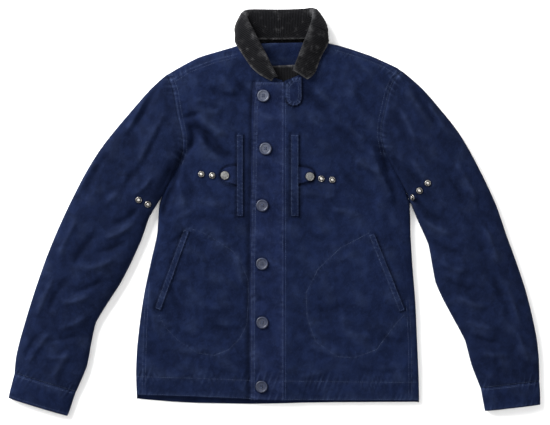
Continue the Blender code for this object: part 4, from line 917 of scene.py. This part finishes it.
@dataclass(frozen=True)
class CorduroyPiece:
    """The collar or the throat guard: wales across the roll line, rubbed edges.

    Attributes:
        node: the solid's name.
        flat: width and length of the cut, in metres; not used.
        area: flat area of the cut, in square metres; not used.
        rests_on: pieces that it lies on; not used.
        levels: how often its mesh is subdivided.
        wale_turn: 0 to count the wales along the roll line, or 1 to count them across X.
    """

    node: str
    flat: tuple[float, float]
    area: float
    rests_on: tuple[str, ...]
    levels: int = 3
    wale_turn: int = 0

    ROLL_WEAR = 5.0
    SWELL = 0.35
    SWELL_WAVES = 14
    SWELL_LENGTHS = (18, 46)
    SWELL_SPREAD = 3.7
    EDGE_ANGLE = math.radians(33)
    EDGE_WEAR = 2.6

    def build(self, frame: dict[str, Any], material: bpy.types.Material) -> bpy.types.Object:
        mesh = quads_of(frame["nodes"][self.node], f"{self.node}_cloth")
        made = subdivided(mesh, f"{self.node}_cloth", self.levels)
        places = places_of(made.data)
        along, gap = self.along_roll(places)
        if self.wale_turn:
            along, gap = places[:, 0], np.full(len(places), 40.0)
        draw = np.random.default_rng(11)
        swell = np.zeros(len(places))
        for _ in range(self.SWELL_WAVES):
            turn = draw.uniform(0, math.pi)
            length = draw.uniform(*self.SWELL_LENGTHS)
            phase = draw.uniform(0, math.tau)
            run = places[:, 0] * math.cos(turn) + places[:, 1] * math.sin(turn)
            swell += np.sin(run * math.tau / length + phase) / self.SWELL_SPREAD
        upper = smooth(places[:, 2], 12.0, 20.0)
        places[:, 2] += self.SWELL * swell * upper * smooth(gap, 2.0, 9.0) * (1 - self.wale_turn)
        move_to(made.data, places)
        rim = self.near_edges(made.data, places)
        fade = 0.04 * upper + 0.58 * np.exp(-(gap / self.ROLL_WEAR) ** 2) * upper + 0.9 * rim
        store(made.data, "fade", np.clip(fade * (0.75 + 0.3 * swell), 0.0, 1.0))
        store(made.data, "painted_shade", np.zeros(len(places)))
        store(made.data, "wale", along)
        finish_mesh(made, material, 60.0)
        hand_over(made, "corduroy", self.node)
        return made

    @staticmethod
    def along_roll(places: np.ndarray) -> tuple[np.ndarray, np.ndarray]:
        """Each place's distance along the roll line and away from it."""
        line = np.array(COLLAR_ROLL, float)
        lengths = np.linalg.norm(np.diff(line, axis=0), axis=1)
        starts = np.concatenate([[0.0], np.cumsum(lengths)])
        best = np.full(len(places), 1e9)
        along = np.zeros(len(places))
        for k, (start, end) in enumerate(zip(line, line[1:])):
            step = end - start
            share = np.clip((places - start) @ step / lengths[k] ** 2, 0.0, 1.0)
            gap = np.linalg.norm(places - start - share[:, None] * step, axis=1)
            closer = gap < best
            best[closer] = gap[closer]
            along[closer] = starts[k] + share[closer] * lengths[k]
        return along, best

    @staticmethod
    def near_edges(mesh: bpy.types.Mesh, places: np.ndarray) -> np.ndarray:
        """Wear from 0 to 1 beside the folded free edges."""
        work = bmesh.new()
        work.from_mesh(mesh)
        work.verts.ensure_lookup_table()
        sharp = [vert.index for vert in work.verts
                 if any(len(edge.link_faces) == 2 and edge.calc_face_angle(0.0) > CorduroyPiece.EDGE_ANGLE
                        for edge in vert.link_edges)]
        work.free()
        wear = np.zeros(len(places))
        if not sharp:
            return wear
        tree = KDTree(len(sharp))
        for index in sharp:
            tree.insert(Vector(places[index]), index)
        tree.balance()
        for k, place in enumerate(places):
            gap = tree.find(Vector(place))[2]
            wear[k] = math.exp(-(gap / CorduroyPiece.EDGE_WEAR) ** 2)
        return wear


SEWN_PAIRS = (
    ("front_right", "sleeve_top_right"), ("front_left", "sleeve_top_left"), ("back", "sleeve_under_right"),
    ("back", "sleeve_under_left"), ("front_right", "back"), ("front_left", "back"),
    ("sleeve_top_right", "sleeve_under_right"), ("sleeve_top_left", "sleeve_under_left"),
    ("sleeve_top_right", "cuff_right"), ("sleeve_top_left", "cuff_left"),
    ("sleeve_under_right", "cuff_right"), ("sleeve_under_left", "cuff_left"),
    ("back", "sleeve_top_right"), ("back", "sleeve_top_left"),
    ("front_right", "sleeve_under_right"), ("front_left", "sleeve_under_left"),
)


SEAM_NEAR = 1.5
SEAM_FAR = 3.0
SEAM_SHARE = 0.48


def close_seams(pieces: dict[str, bpy.types.Object]) -> None:
    """Draw sewn edges together in plan, so that no light passes between them.

    Args:
        pieces: the dressed cloth by its solids' names.
    """
    places = {name: places_of(piece.data) for name, piece in pieces.items()}
    trees = {}
    for name in {name for pair in SEWN_PAIRS for name in pair}:
        faces = [tuple(face.vertices) for face in pieces[name].data.polygons]
        trees[name] = BVHTree.FromPolygons([tuple(p) for p in places[name]], faces)
    moves = {name: np.zeros((len(places[name]), 2)) for name in trees}
    for pair in SEWN_PAIRS:
        for name, other in (pair, pair[::-1]):
            box = places[other]
            low, high = box.min(axis=0) - SEAM_FAR, box.max(axis=0) + SEAM_FAR
            inside = np.nonzero(((places[name] > low) & (places[name] < high)).all(axis=1))[0]
            for k in inside:
                hit, _, _, gap = trees[other].find_nearest(Vector(places[name][k]), SEAM_FAR)
                if hit is None:
                    continue
                fall = SEAM_SHARE * (1.0 - min(max((gap - SEAM_NEAR) / (SEAM_FAR - SEAM_NEAR), 0.0), 1.0))
                step = (np.array(hit[:2]) - places[name][k, :2]) * fall
                if np.hypot(*step) > np.hypot(*moves[name][k]):
                    moves[name][k] = step
    for name, step in moves.items():
        places[name][:, :2] += step
        move_to(pieces[name].data, places[name])


@dataclass(frozen=True)
class Seat:
    """Where a fastener sits: the middle of its base, its axis and its height, in millimetres."""

    base: np.ndarray
    axis: np.ndarray
    height: float

    @classmethod
    def of(cls, source: bpy.types.Object) -> "Seat":
        """Read the seat from a round solid's points."""
        places = places_of(source.data)
        middle = (places.min(axis=0) + places.max(axis=0)) / 2.0
        spread = np.linalg.svd(places - places.mean(axis=0), full_matrices=False)[2]
        axis = spread[2] * (1.0 if spread[2][2] > 0 else -1.0)
        reach = (places - middle) @ axis
        return cls(middle + axis * reach.min(), axis, float(reach.max() - reach.min()))

    def place(self, points: np.ndarray) -> np.ndarray:
        """Turn and move points from the fastener's own axes, in millimetres."""
        side = np.cross([0.0, 1.0, 0.0], self.axis)
        side = side / np.linalg.norm(side)
        other = np.cross(self.axis, side)
        return self.base + points @ np.stack([side, other, self.axis])


def seated(mesh: bpy.types.Mesh, seat: Seat) -> bpy.types.Object:
    """An object with a mesh that was made in a fastener's own axes, moved to its seat."""
    flat = np.empty(len(mesh.vertices) * 3)
    mesh.vertices.foreach_get("co", flat)
    move_to(mesh, seat.place(flat.reshape(-1, 3)))
    return linked(mesh.name, mesh)


def lathed(name: str, profile: Sequence[Point], seat: Seat, steps: int) -> bpy.types.Object:
    """A closed turned body.

    Args:
        name: the object's name.
        profile: radius and height pairs from the middle of the base to the middle of the top.
        seat: where it goes.
        steps: points round the axis.

    Returns:
        The object.
    """
    work = bmesh.new()
    rings = []
    for radius, height in profile:
        if radius == 0.0:
            rings.append([work.verts.new((0.0, 0.0, height))])
            continue
        turns = [math.tau * k / steps for k in range(steps)]
        rings.append([work.verts.new((radius * math.cos(t), radius * math.sin(t), height)) for t in turns])
    for low, high in zip(rings, rings[1:]):
        for k in range(steps):
            near, far = k % len(low), (k + 1) % len(low)
            up_near, up_far = k % len(high), (k + 1) % len(high)
            corners = [low[near], low[far], high[up_far], high[up_near]]
            work.faces.new(list(dict.fromkeys(corners)))
    bmesh.ops.recalc_face_normals(work, faces=work.faces)
    return seated(mesh_from(work, name), seat)


def rounded(profile: Sequence[Point], rounds: int = 2) -> list[Point]:
    """Cut a profile's corners, keeping its two ends."""
    points = [tuple(map(float, point)) for point in profile]
    for _ in range(rounds):
        cut = [points[0]]
        for start, end in zip(points, points[1:]):
            for share in (0.25, 0.75):
                cut.append(tuple(a + (b - a) * share for a, b in zip(start, end)))
        cut.append(points[-1])
        points = cut
    return points


@dataclass(frozen=True)
class Button:
    """A four-hole button with a raised rim, and the thread that crosses its holes."""

    node: str

    PROFILE = ((0, 0), (9.0, 0), (10.6, 0.5), (11.0, 1.6), (10.9, 2.6), (10.0, 3.2), (8.7, 3.1), (7.9, 2.45),
               (6.2, 2.2), (4.0, 2.1), (0, 2.1))
    HOLE = 1.0
    HOLE_RING = 2.3
    HOLE_STEPS = 20
    DRILL = 8.0
    DRILL_MIDDLE = 1.5
    STRANDS = (-0.38, 0.0, 0.38)
    BAR = ((-1.0, 0.25), (-1.0, 2.0), (-0.75, 2.62), (0.0, 2.75), (0.75, 2.62), (1.0, 2.0), (1.0, 0.25))
    THREAD = 0.42
    STEPS = 56

    def build(self, frame: dict[str, Any], resin: bpy.types.Material,
              thread: bpy.types.Material) -> list[bpy.types.Object]:
        """Make the button and its thread."""
        seat = Seat.of(frame["nodes"][self.node])
        made = lathed(f"{self.node}_resin", rounded(self.PROFILE), seat, self.STEPS)
        self.bore(made, seat)
        finish_mesh(made, resin, 38.0)
        hand_over(made, "button", self.node)
        sewn = self.sew(seat)
        finish_mesh(sewn, thread, 60.0)
        hand_over(sewn, "twill")
        return [made, sewn]

    def bore(self, made: bpy.types.Object, seat: Seat) -> None:
        """Cut the four holes through the button."""
        drill = bmesh.new()
        for k in range(4):
            turn = math.tau * (k + 0.5) / 4
            x, y = self.HOLE_RING * math.cos(turn), self.HOLE_RING * math.sin(turn)
            made_cone = bmesh.ops.create_cone(drill, cap_ends=True, segments=self.HOLE_STEPS,
                                              radius1=self.HOLE, radius2=self.HOLE, depth=self.DRILL)
            bmesh.ops.translate(drill, verts=made_cone["verts"], vec=(x, y, self.DRILL_MIDDLE))
        cutter = seated(mesh_from(drill, "drill"), seat)
        cut = made.modifiers.new("holes", "BOOLEAN")
        cut.operation = "DIFFERENCE"
        cut.solver = "EXACT"
        cut.object = cutter
        made.data = applied(made, cut)
        bpy.data.objects.remove(cutter)

    def sew(self, seat: Seat) -> bpy.types.Object:
        """Two bars of thread, each over two holes and down to the cloth."""
        rows = []
        ring = self.HOLE_RING * math.cos(math.pi / 4)
        for side in (-1.0, 1.0):
            for strand in self.STRANDS:
                across = side * ring + strand
                rows.append(np.array([(ring * share, across, height) for share, height in self.BAR]))
        return tubes(f"{self.node}_thread", [seat.place(row) for row in rows], self.THREAD / 2)


def tubes(name: str, paths: Iterable[np.ndarray], radius: float, steps: int = 8) -> bpy.types.Object:
    """Closed round tubes along paths, all in millimetres."""
    work = bmesh.new()
    for path in paths:
        runs = np.gradient(path, axis=0)
        rings = []
        for centre, run in zip(path, runs):
            run = run / np.linalg.norm(run)
            guide = np.array([0.0, 0.0, 1.0]) if abs(run[2]) < 0.8 else np.array([0.0, 1.0, 0.0])
            side = np.cross(guide, run)
            side = side / np.linalg.norm(side)
            over = np.cross(run, side)
            ring = []
            for k in range(steps):
                turn = math.tau * k / steps
                arm = math.cos(turn) * side + math.sin(turn) * over
                ring.append(work.verts.new((centre + radius * arm) * MM))
            rings.append(ring)
        for low, high in zip(rings, rings[1:]):
            for k in range(steps):
                far = (k + 1) % steps
                work.faces.new((low[k], low[far], high[far], high[k]))
        work.faces.new(rings[0][::-1])
        work.faces.new(rings[-1])
    bmesh.ops.recalc_face_normals(work, faces=work.faces)
    return linked(name, mesh_from(work, name))


METAL_SHARP = 40.0


def off_axis(mesh: bpy.types.Mesh, seat: Seat) -> np.ndarray:
    """Each point's distance from the seat's axis, in millimetres."""
    arms = places_of(mesh) - seat.base
    return np.linalg.norm(arms - np.outer(arms @ seat.axis, seat.axis), axis=1)


def turned_metal(source: bpy.types.Object, node: str, shares: Sequence[Point],
                 steps: int) -> tuple[bpy.types.Object, Seat, float]:
    """A turned body with its seat and radius; the profile is in shares of the solid's sizes."""
    seat = Seat.of(source)
    radius = float(off_axis(source.data, seat).max())
    profile = [(r * radius, h * seat.height) for r, h in shares]
    return lathed(f"{node}_metal", rounded(profile), seat, steps), seat, radius


@dataclass(frozen=True)
class SnapCap:
    """A press stud's plain domed cap with a rolled rim."""

    node: str

    PROFILE = ((0, 0), (1.0, 0), (1.0, 0.32), (0.985, 0.62), (0.93, 0.86), (0.86, 0.84), (0.82, 0.78),
               (0.62, 0.92), (0.34, 0.99), (0, 1.0))
    STEPS = 64

    def build(self, frame: dict[str, Any], metal: bpy.types.Material) -> list[bpy.types.Object]:
        """Make the cap."""
        made = turned_metal(frame["nodes"][self.node], self.node, self.PROFILE, self.STEPS)[0]
        finish_mesh(made, metal, METAL_SHARP)
        hand_over(made, "stud_metal", self.node)
        return [made]


@dataclass(frozen=True)
class PressStud:
    """A press stud's lower half: a ring with a round nub."""

    node: str

    RING = ((0, 0), (1.0, 0), (1.0, 0.22), (0.97, 0.40), (0.86, 0.50), (0.74, 0.46), (0.62, 0.26),
            (0.50, 0.22), (0.46, 0.30), (0.46, 0.62), (0.48, 0.80), (0.40, 0.96), (0.22, 1.0), (0, 1.0))
    STEPS = 32
    NUB = 0.44
    RIM = (0.76, 0.9)

    def build(self, frame: dict[str, Any], metal: bpy.types.Material) -> list[bpy.types.Object]:
        """Make the stud."""
        made, seat, radius = turned_metal(frame["nodes"][self.node], self.node, self.RING, self.STEPS)
        reach = off_axis(made.data, seat) / radius
        store(made.data, "fade", 0.95 * (reach < self.NUB) + 0.40 * smooth(reach, *self.RIM))
        finish_mesh(made, metal, METAL_SHARP)
        hand_over(made, "stud_metal", self.node)
        return [made]


@dataclass(frozen=True)
class StitchLine:
    """A sewn line seen from above, in millimetres, with its stitch length."""

    path: tuple[Point, ...]
    pitch: float = 3.4


STITCH_WIDTH = 0.62
STITCH_SHARE = 0.76
STITCH_SINK = 0.05
STITCH_LEAN = 0.16
STITCH_LENGTHS = (0.86, 1.1)
STITCH_FLATNESS = 0.62


def stitch_tree(name: str, material: bpy.types.Material) -> bpy.types.GeometryNodeTree:
    """Geometry nodes that lay one stitch on each step of a line, and realise them.

    The line's points hold the cloth's normal as `up`. The named inputs are the stitch's
    length, width and seed.
    """
    tree = bpy.data.node_groups.new(name, "GeometryNodeTree")
    face = tree.interface
    for socket, kind in (("Geometry", "Geometry"), ("Pitch", "Float"), ("Width", "Float"), ("Seed", "Int")):
        face.new_socket(socket, in_out="INPUT", socket_type=f"NodeSocket{kind}")
    face.new_socket("Geometry", in_out="OUTPUT", socket_type="NodeSocketGeometry")
    nodes, links = tree.nodes, tree.links

    def add(kind: str, **settings: Any) -> bpy.types.Node:
        made = nodes.new(kind)
        for key, value in settings.items():
            setattr(made, key, value)
        return made

    entry = add("NodeGroupInput")
    leave = add("NodeGroupOutput")
    curve = add("GeometryNodeMeshToCurve")
    even = add("GeometryNodeResampleCurve")
    even.mode = "LENGTH"
    up = add("GeometryNodeInputNamedAttribute", data_type="FLOAT_VECTOR")
    up.inputs["Name"].default_value = "up"
    run = add("GeometryNodeInputTangent")
    first = add("FunctionNodeAlignRotationToVector", axis="Z")
    second = add("FunctionNodeAlignRotationToVector", axis="X", pivot_axis="Z")
    seed_turn = add("FunctionNodeRandomValue", data_type="FLOAT")
    seed_turn.inputs[2].default_value = -STITCH_LEAN
    seed_turn.inputs[3].default_value = STITCH_LEAN
    lean = add("FunctionNodeEulerToRotation")
    join = add("ShaderNodeCombineXYZ")
    spin = add("FunctionNodeRotateRotation", rotation_space="LOCAL")
    ball = add("GeometryNodeMeshIcoSphere")
    ball.inputs["Radius"].default_value = 0.5
    ball.inputs["Subdivisions"].default_value = 2
    sizes = add("FunctionNodeRandomValue", data_type="FLOAT")
    sizes.inputs[2].default_value = STITCH_LENGTHS[0]
    sizes.inputs[3].default_value = STITCH_LENGTHS[1]
    long = add("ShaderNodeMath", operation="MULTIPLY")
    length = add("ShaderNodeMath", operation="MULTIPLY")
    length.inputs[1].default_value = STITCH_SHARE
    scale = add("ShaderNodeCombineXYZ")
    flat = add("ShaderNodeMath", operation="MULTIPLY")
    flat.inputs[1].default_value = STITCH_FLATNESS
    lay = add("GeometryNodeInstanceOnPoints")
    real = add("GeometryNodeRealizeInstances")
    paint = add("GeometryNodeSetMaterial")
    paint.inputs["Material"].default_value = material
    pairs = (
        (entry.outputs["Geometry"], curve.inputs["Mesh"]),
        (curve.outputs["Curve"], even.inputs["Curve"]),
        (entry.outputs["Pitch"], even.inputs["Length"]),
        (up.outputs[0], first.inputs["Vector"]),
        (first.outputs[0], second.inputs["Rotation"]),
        (run.outputs[0], second.inputs["Vector"]),
        (entry.outputs["Seed"], seed_turn.inputs["Seed"]),
        (entry.outputs["Seed"], sizes.inputs["Seed"]),
        (seed_turn.outputs[1], join.inputs[2]),
        (join.outputs[0], lean.inputs[0]),
        (second.outputs[0], spin.inputs["Rotation"]),
        (lean.outputs[0], spin.inputs["Rotate By"]),
        (entry.outputs["Pitch"], length.inputs[0]),
        (length.outputs[0], long.inputs[0]),
        (sizes.outputs[1], long.inputs[1]),
        (entry.outputs["Width"], flat.inputs[0]),
        (long.outputs[0], scale.inputs[0]),
        (entry.outputs["Width"], scale.inputs[1]),
        (flat.outputs[0], scale.inputs[2]),
        (even.outputs["Curve"], lay.inputs["Points"]),
        (ball.outputs["Mesh"], lay.inputs["Instance"]),
        (spin.outputs[0], lay.inputs["Rotation"]),
        (scale.outputs[0], lay.inputs["Scale"]),
        (lay.outputs["Instances"], real.inputs["Geometry"]),
        (real.outputs["Geometry"], paint.inputs["Geometry"]),
        (paint.outputs["Geometry"], leave.inputs["Geometry"]),
    )
    for source, target in pairs:
        links.new(source, target)
    return tree


class Surface:
    """The dressed cloth, asked for its height and normal at a place."""

    TOP = 60.0
    STEP = 1.1

    def __init__(self, pieces: Iterable[bpy.types.Object]) -> None:
        """Gather the pieces' faces."""
        corners: list[tuple[float, float, float]] = []
        faces: list[tuple[int, ...]] = []
        for piece in pieces:
            start = len(corners)
            corners.extend(map(tuple, places_of(piece.data)))
            faces.extend(tuple(v + start for v in face.vertices) for face in piece.data.polygons)
        self.tree = BVHTree.FromPolygons(corners, faces)

    def lay(self, path: Sequence[Point]) -> tuple[np.ndarray, np.ndarray]:
        """A path laid on the cloth: its places and the cloth's normals, in millimetres."""
        places, normals = [], []
        for x, y in even_steps(path, self.STEP):
            hit, normal, _, _ = self.tree.ray_cast(Vector((x, y, self.TOP)), Vector((0.0, 0.0, -1.0)))
            if hit is None:
                continue
            normal = normal if normal.z > 0 else -normal
            places.append(hit - normal * STITCH_SINK)
            normals.append(normal)
        return np.array(places), np.array(normals)


@dataclass(frozen=True)
class StitchGroup:
    """Stitch lines that make one piece of thread work."""

    name: str
    lines: tuple[StitchLine, ...]
    seed: int = 3

    def build(self, surface: Surface, material: bpy.types.Material) -> bpy.types.Object:
        """Lay the lines on the cloth and set the stitches on them.

        Args:
            surface: the dressed cloth.
            material: the thread's finish.

        Returns:
            The stitches as one mesh object.
        """
        parts = []
        tree = stitch_tree(f"{self.name}_nodes", material)
        for k, line in enumerate(self.lines):
            places, normals = surface.lay(line.path)
            mesh = bpy.data.meshes.new("stitch_line")
            edges = [(i, i + 1) for i in range(len(places) - 1)]
            mesh.from_pydata([tuple(place * MM) for place in places], edges, [])
            up = mesh.attributes.new("up", "FLOAT_VECTOR", "POINT")
            up.data.foreach_set("vector", normals.astype(np.float32).ravel())
            line_object = linked("stitch_line", mesh)
            nodes = line_object.modifiers.new("stitches", "NODES")
            nodes.node_group = tree
            inputs = [item for item in tree.interface.items_tree if item.in_out == "INPUT"]
            keys = {item.name: item.identifier for item in inputs}
            nodes[keys["Pitch"]] = line.pitch * MM
            nodes[keys["Width"]] = STITCH_WIDTH * MM
            nodes[keys["Seed"]] = self.seed + k
            parts.append(applied(line_object, nodes))
            bpy.data.objects.remove(line_object)
        work = bmesh.new()
        for part in parts:
            work.from_mesh(part)
            bpy.data.meshes.remove(part)
        made = linked(self.name, mesh_from(work, self.name))
        finish_mesh(made, material, 80.0)
        hand_over(made, "twill")
        return made


CLOTH = (
    ClothPiece("front_right", (0.278, 0.658), 0.146, ("back",)),
    ClothPiece("front_left", (0.262, 0.661), 0.143, ("back", "front_right")),
    ClothPiece("placket", (0.065, 0.588), 0.0376, ("front_left",)),
    ClothPiece("sleeve_top_right", (0.168, 0.620), 0.0821, ("sleeve_under_right",)),
    ClothPiece("sleeve_top_left", (0.170, 0.620), 0.0841, ("sleeve_under_left",)),
    ClothPiece("cuff_right", (0.240, 0.050), 0.0118, ("sleeve_under_right",)),
    ClothPiece("cuff_left", (0.230, 0.046), 0.0099, ("sleeve_under_left",)),
    ClothPiece("chest_welt_right", (0.0122, 0.152), 0.0018, ("front_right",)),
    ClothPiece("chest_welt_left", (0.0152, 0.152), 0.0022, ("front_left",)),
    ClothPiece("hand_welt_right", (0.0125, 0.158), 0.0019, ("front_right",)),
    ClothPiece("hand_welt_left", (0.0125, 0.158), 0.0019, ("front_left",)),
    ClothPiece("chest_tab_right", (0.031, 0.036), 0.00095, ("chest_welt_right",)),
    ClothPiece("chest_tab_left", (0.030, 0.033), 0.00085, ("chest_welt_left",)),
    ClothPiece("throat_tab", (0.032, 0.053), 0.0015, ("front_left",), 3),
)
UNDER = (
    UnderPiece("back", (0.540, 0.667), 0.300, (), 0, 0.013, 4.0, 7.0),
    UnderPiece("sleeve_under_right", (0.170, 0.620), 0.0789, (), 0, 0.011, 2.6, 4.5),
    UnderPiece("sleeve_under_left", (0.172, 0.620), 0.0810, (), 0, 0.011, 2.6, 4.5),
)
CORDUROY = (
    CorduroyPiece("collar", (0.430, 0.086), 0.0360, ("back", "front_right", "front_left")),
    CorduroyPiece("throat_guard", (0.062, 0.046), 0.0028, ("back",), 3, 1),
)
TWILLS = {
    "body": TwillFinish("twill_body", (0.0020, 0.0040, 0.0150), (0.0052, 0.0096, 0.0325),
                        (0.029, 0.043, 0.090)),
    "sleeve": TwillFinish("twill_sleeve", (0.0019, 0.0037, 0.0132), (0.0048, 0.0087, 0.0285),
                          (0.027, 0.039, 0.082)),
    "placket": TwillFinish("twill_placket", (0.0024, 0.0046, 0.0175), (0.0062, 0.0110, 0.0380),
                           (0.036, 0.050, 0.105)),
    "trim": TwillFinish("twill_trim", (0.0023, 0.0044, 0.0165), (0.0060, 0.0106, 0.0360),
                        (0.040, 0.058, 0.118)),
}
PIECE_TWILL = {
    "placket": "placket", "throat_tab": "trim", "chest_tab_right": "trim", "chest_tab_left": "trim",
    "sleeve_top_right": "sleeve", "sleeve_top_left": "sleeve", "sleeve_under_right": "sleeve",
    "sleeve_under_left": "sleeve",
}
CORD = CorduroyFinish("corduroy_charcoal", (0.0012, 0.0012, 0.0015), (0.0062, 0.0065, 0.0080),
                      (0.070, 0.070, 0.073))
THREAD = ThreadFinish("thread_navy", (0.0085, 0.0140, 0.0380), (0.042, 0.060, 0.118))
RESIN_PALE = ResinFinish("resin_blue_grey", (0.018, 0.024, 0.046), (0.052, 0.060, 0.090))
RESIN_NAVY = ResinFinish("resin_navy", (0.007, 0.011, 0.028), (0.024, 0.031, 0.060))
PALE_BUTTONS = ("button_1", "button_2")
METAL_CAP = MetalFinish("metal_cap", (0.26, 0.26, 0.25), (0.12, 0.12, 0.12), 0.45)
METAL_STUD = MetalFinish("metal_stud", (0.48, 0.46, 0.43), (0.035, 0.033, 0.032), 0.34)
PAPER = PaperFinish("paper_white", (0.92, 0.92, 0.92))


def doubled(path: Sequence[Point], first: float, second: float, pitch: float = 3.4) -> tuple[StitchLine, ...]:
    """Two parallel stitch lines beside a path."""
    return tuple(StitchLine(shifted(path, step), pitch) for step in (first, second))


def stitch_groups() -> tuple[StitchGroup, ...]:
    """All the sewn lines that show, by the part of the jacket."""
    hem_right, hem_left = HEM_LINE[:3], ((18, -311), *HEM_LINE[4:])
    trims = tuple(StitchLine(inset(outline, step), 2.9) for outline, step in (
        (CHEST_WELT_RIGHT, 1.8), (CHEST_WELT_LEFT, 1.8), (HAND_WELT_RIGHT, 1.8), (HAND_WELT_LEFT, 1.8),
        (THROAT_TAB, 2.2), (THROAT_TAB, 7.0),
    ))
    return (
        StitchGroup("stitches_placket", (
            StitchLine(shifted(PLACKET_EDGE, 3.2)), StitchLine(shifted(PLACKET_EDGE, 8.6)),
            StitchLine(((-33, 235), (14, 235)), 2.6), StitchLine(((15.2, 236), (15.2, -346))),
            StitchLine(((20.6, 205), (20.6, -345))),
        )),
        StitchGroup("stitches_armholes", (
            *doubled(ARMHOLE_RIGHT, 2.2, 8.0), *doubled(ARMHOLE_LEFT, -2.2, -8.0),
            *doubled(SHOULDER_LINE_RIGHT, -1.8, -7.4), *doubled(SHOULDER_LINE_LEFT, -1.8, -7.4),
        )),
        StitchGroup("stitches_hem", (
            StitchLine(hem_right), StitchLine(hem_left), StitchLine(shifted(HEM_EDGE[:3], 2.6)),
            StitchLine(shifted(HEM_EDGE[3:], 2.6)), *doubled(SIDE_SEAM_LEFT, -2.0, -7.5),
            *doubled(SIDE_SEAM_RIGHT, 2.0, 7.5),
        )),
        StitchGroup("stitches_pocket_bags", (StitchLine(POCKET_BAG_RIGHT), StitchLine(POCKET_BAG_LEFT))),
        StitchGroup("stitches_trims", trims),
        StitchGroup("stitches_cuffs", (
            *doubled(CUFF_SEAM_RIGHT, 2.4, -3.0), *doubled(CUFF_SEAM_LEFT, -2.4, 3.0),
            StitchLine(shifted(CUFF_END_RIGHT, 2.2)), StitchLine(shifted(CUFF_END_LEFT, 2.2)),
        )),
    )


class Studio:
    """The plain pale floor, the soft lights and the camera above."""

    LENS = 85.0
    SENSOR = 36.0
    CENTRE = (0.0009, -0.0009)
    HEIGHT = 2.403
    WORLD = 0.46
    FLOOR_HALF = 6.0
    FLOOR_LEVEL = -0.0004
    LIGHTS = (
        ("key", (-3.2, 2.9, 1.9), 2.6, 720.0),
        ("fill", (3.4, -1.6, 3.0), 2.6, 70.0),
        ("top", (0.0, 0.2, 4.4), 2.4, 60.0),
    )

    def build(self) -> None:
        """Set the floor, lights, world and camera."""
        mesh = bpy.data.meshes.new("floor")
        corners = [(x * self.FLOOR_HALF, y * self.FLOOR_HALF, self.FLOOR_LEVEL)
                   for x, y in ((-1, -1), (1, -1), (1, 1), (-1, 1))]
        mesh.from_pydata(corners, [], [(0, 1, 2, 3)])
        floor = linked("floor", mesh)
        mesh.materials.append(PAPER.build())
        floor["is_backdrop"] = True
        for name, place, size, energy in self.LIGHTS:
            lamp = bpy.data.lights.new(name, "AREA")
            lamp.shape = "SQUARE"
            lamp.size = size
            lamp.energy = energy
            made = bpy.data.objects.new(name, lamp)
            made.location = place
            made.rotation_euler = Vector(place).to_track_quat("Z", "Y").to_euler()
            bpy.context.collection.objects.link(made)
        world = bpy.data.worlds.new("studio")
        world.use_nodes = True
        world.node_tree.nodes["Background"].inputs["Color"].default_value = (1.0, 1.0, 1.0, 1.0)
        world.node_tree.nodes["Background"].inputs["Strength"].default_value = self.WORLD
        scene = bpy.context.scene
        scene.world = world
        scene.view_settings.view_transform = "Standard"
        lens = bpy.data.cameras.new("camera")
        lens.lens = self.LENS
        lens.sensor_width = self.SENSOR
        camera = bpy.data.objects.new("camera", lens)
        camera.location = (*self.CENTRE, self.HEIGHT)
        bpy.context.collection.objects.link(camera)
        scene.camera = camera


class JacketDresser:
    """Dresses every solid of the jacket."""

    def __init__(self, frame: dict[str, Any]) -> None:
        """Keep the frame and build the finishes once."""
        self.frame = frame
        self.twills = {key: finish.build() for key, finish in TWILLS.items()}
        self.cord = CORD.build()
        self.thread = THREAD.build()
        self.pieces: dict[str, bpy.types.Object] = {}

    def cloth(self) -> None:
        """The sheets of cloth."""
        upper = upper_relief()
        under = Relief([Crease(*row) for row in UNDER_CREASES],
                       [Seam(path, 7.0, 0.5, 9.0, 0.5, 0.7) for path in NECK_SEAMS], 5, 0.10)
        for sheets, relief in ((CLOTH, upper), (UNDER, under)):
            for piece in sheets:
                key = PIECE_TWILL.get(piece.node, "body")
                self.keep(piece.node, piece.build(self.frame, relief, self.twills[key]))
        for piece in CORDUROY:
            self.keep(piece.node, piece.build(self.frame, self.cord))
        close_seams(self.pieces)

    def sewing(self) -> None:
        """The stitches, laid on the dressed cloth."""
        surface = Surface([self.pieces[piece.node] for piece in CLOTH])
        for group in stitch_groups():
            self.keep(group.name, group.build(surface, self.thread))

    def fasteners(self) -> None:
        """The buttons, caps and studs."""
        pale, navy = RESIN_PALE.build(), RESIN_NAVY.build()
        cap, stud = METAL_CAP.build(), METAL_STUD.build()
        for name in sorted(self.frame["nodes"]):
            if name.startswith("button"):
                resin = pale if name in PALE_BUTTONS else navy
                made = Button(name).build(self.frame, resin, self.thread)
            elif name.startswith("snap_cap"):
                made = SnapCap(name).build(self.frame, cap)
            elif "_stud_" in name:
                made = PressStud(name).build(self.frame, stud)
            else:
                continue
            for piece in made:
                self.keep(piece.name, piece)

    def keep(self, key: str, piece: bpy.types.Object) -> None:
        """Note a finished piece and log its size."""
        self.pieces[key] = piece
        LOG.info("%s: %d faces", piece.name, len(piece.data.polygons))


def main() -> None:
    """Load the frame, dress it, set the studio and finish."""
    logging.basicConfig(level=logging.INFO, format="%(message)s")
    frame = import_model()
    cad_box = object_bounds()
    dresser = JacketDresser(frame)
    dresser.cloth()
    dresser.sewing()
    dresser.fasteners()
    Studio().build()
    {"cad": plain(cad_box), "visual": plain(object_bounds())}


def plain(box: Any) -> Any:
    """A box as plain lists of numbers."""
    if isinstance(box, (list, tuple, Vector)):
        return [plain(item) for item in box]
    return float(box)


if __name__ == "__main__":
    main()
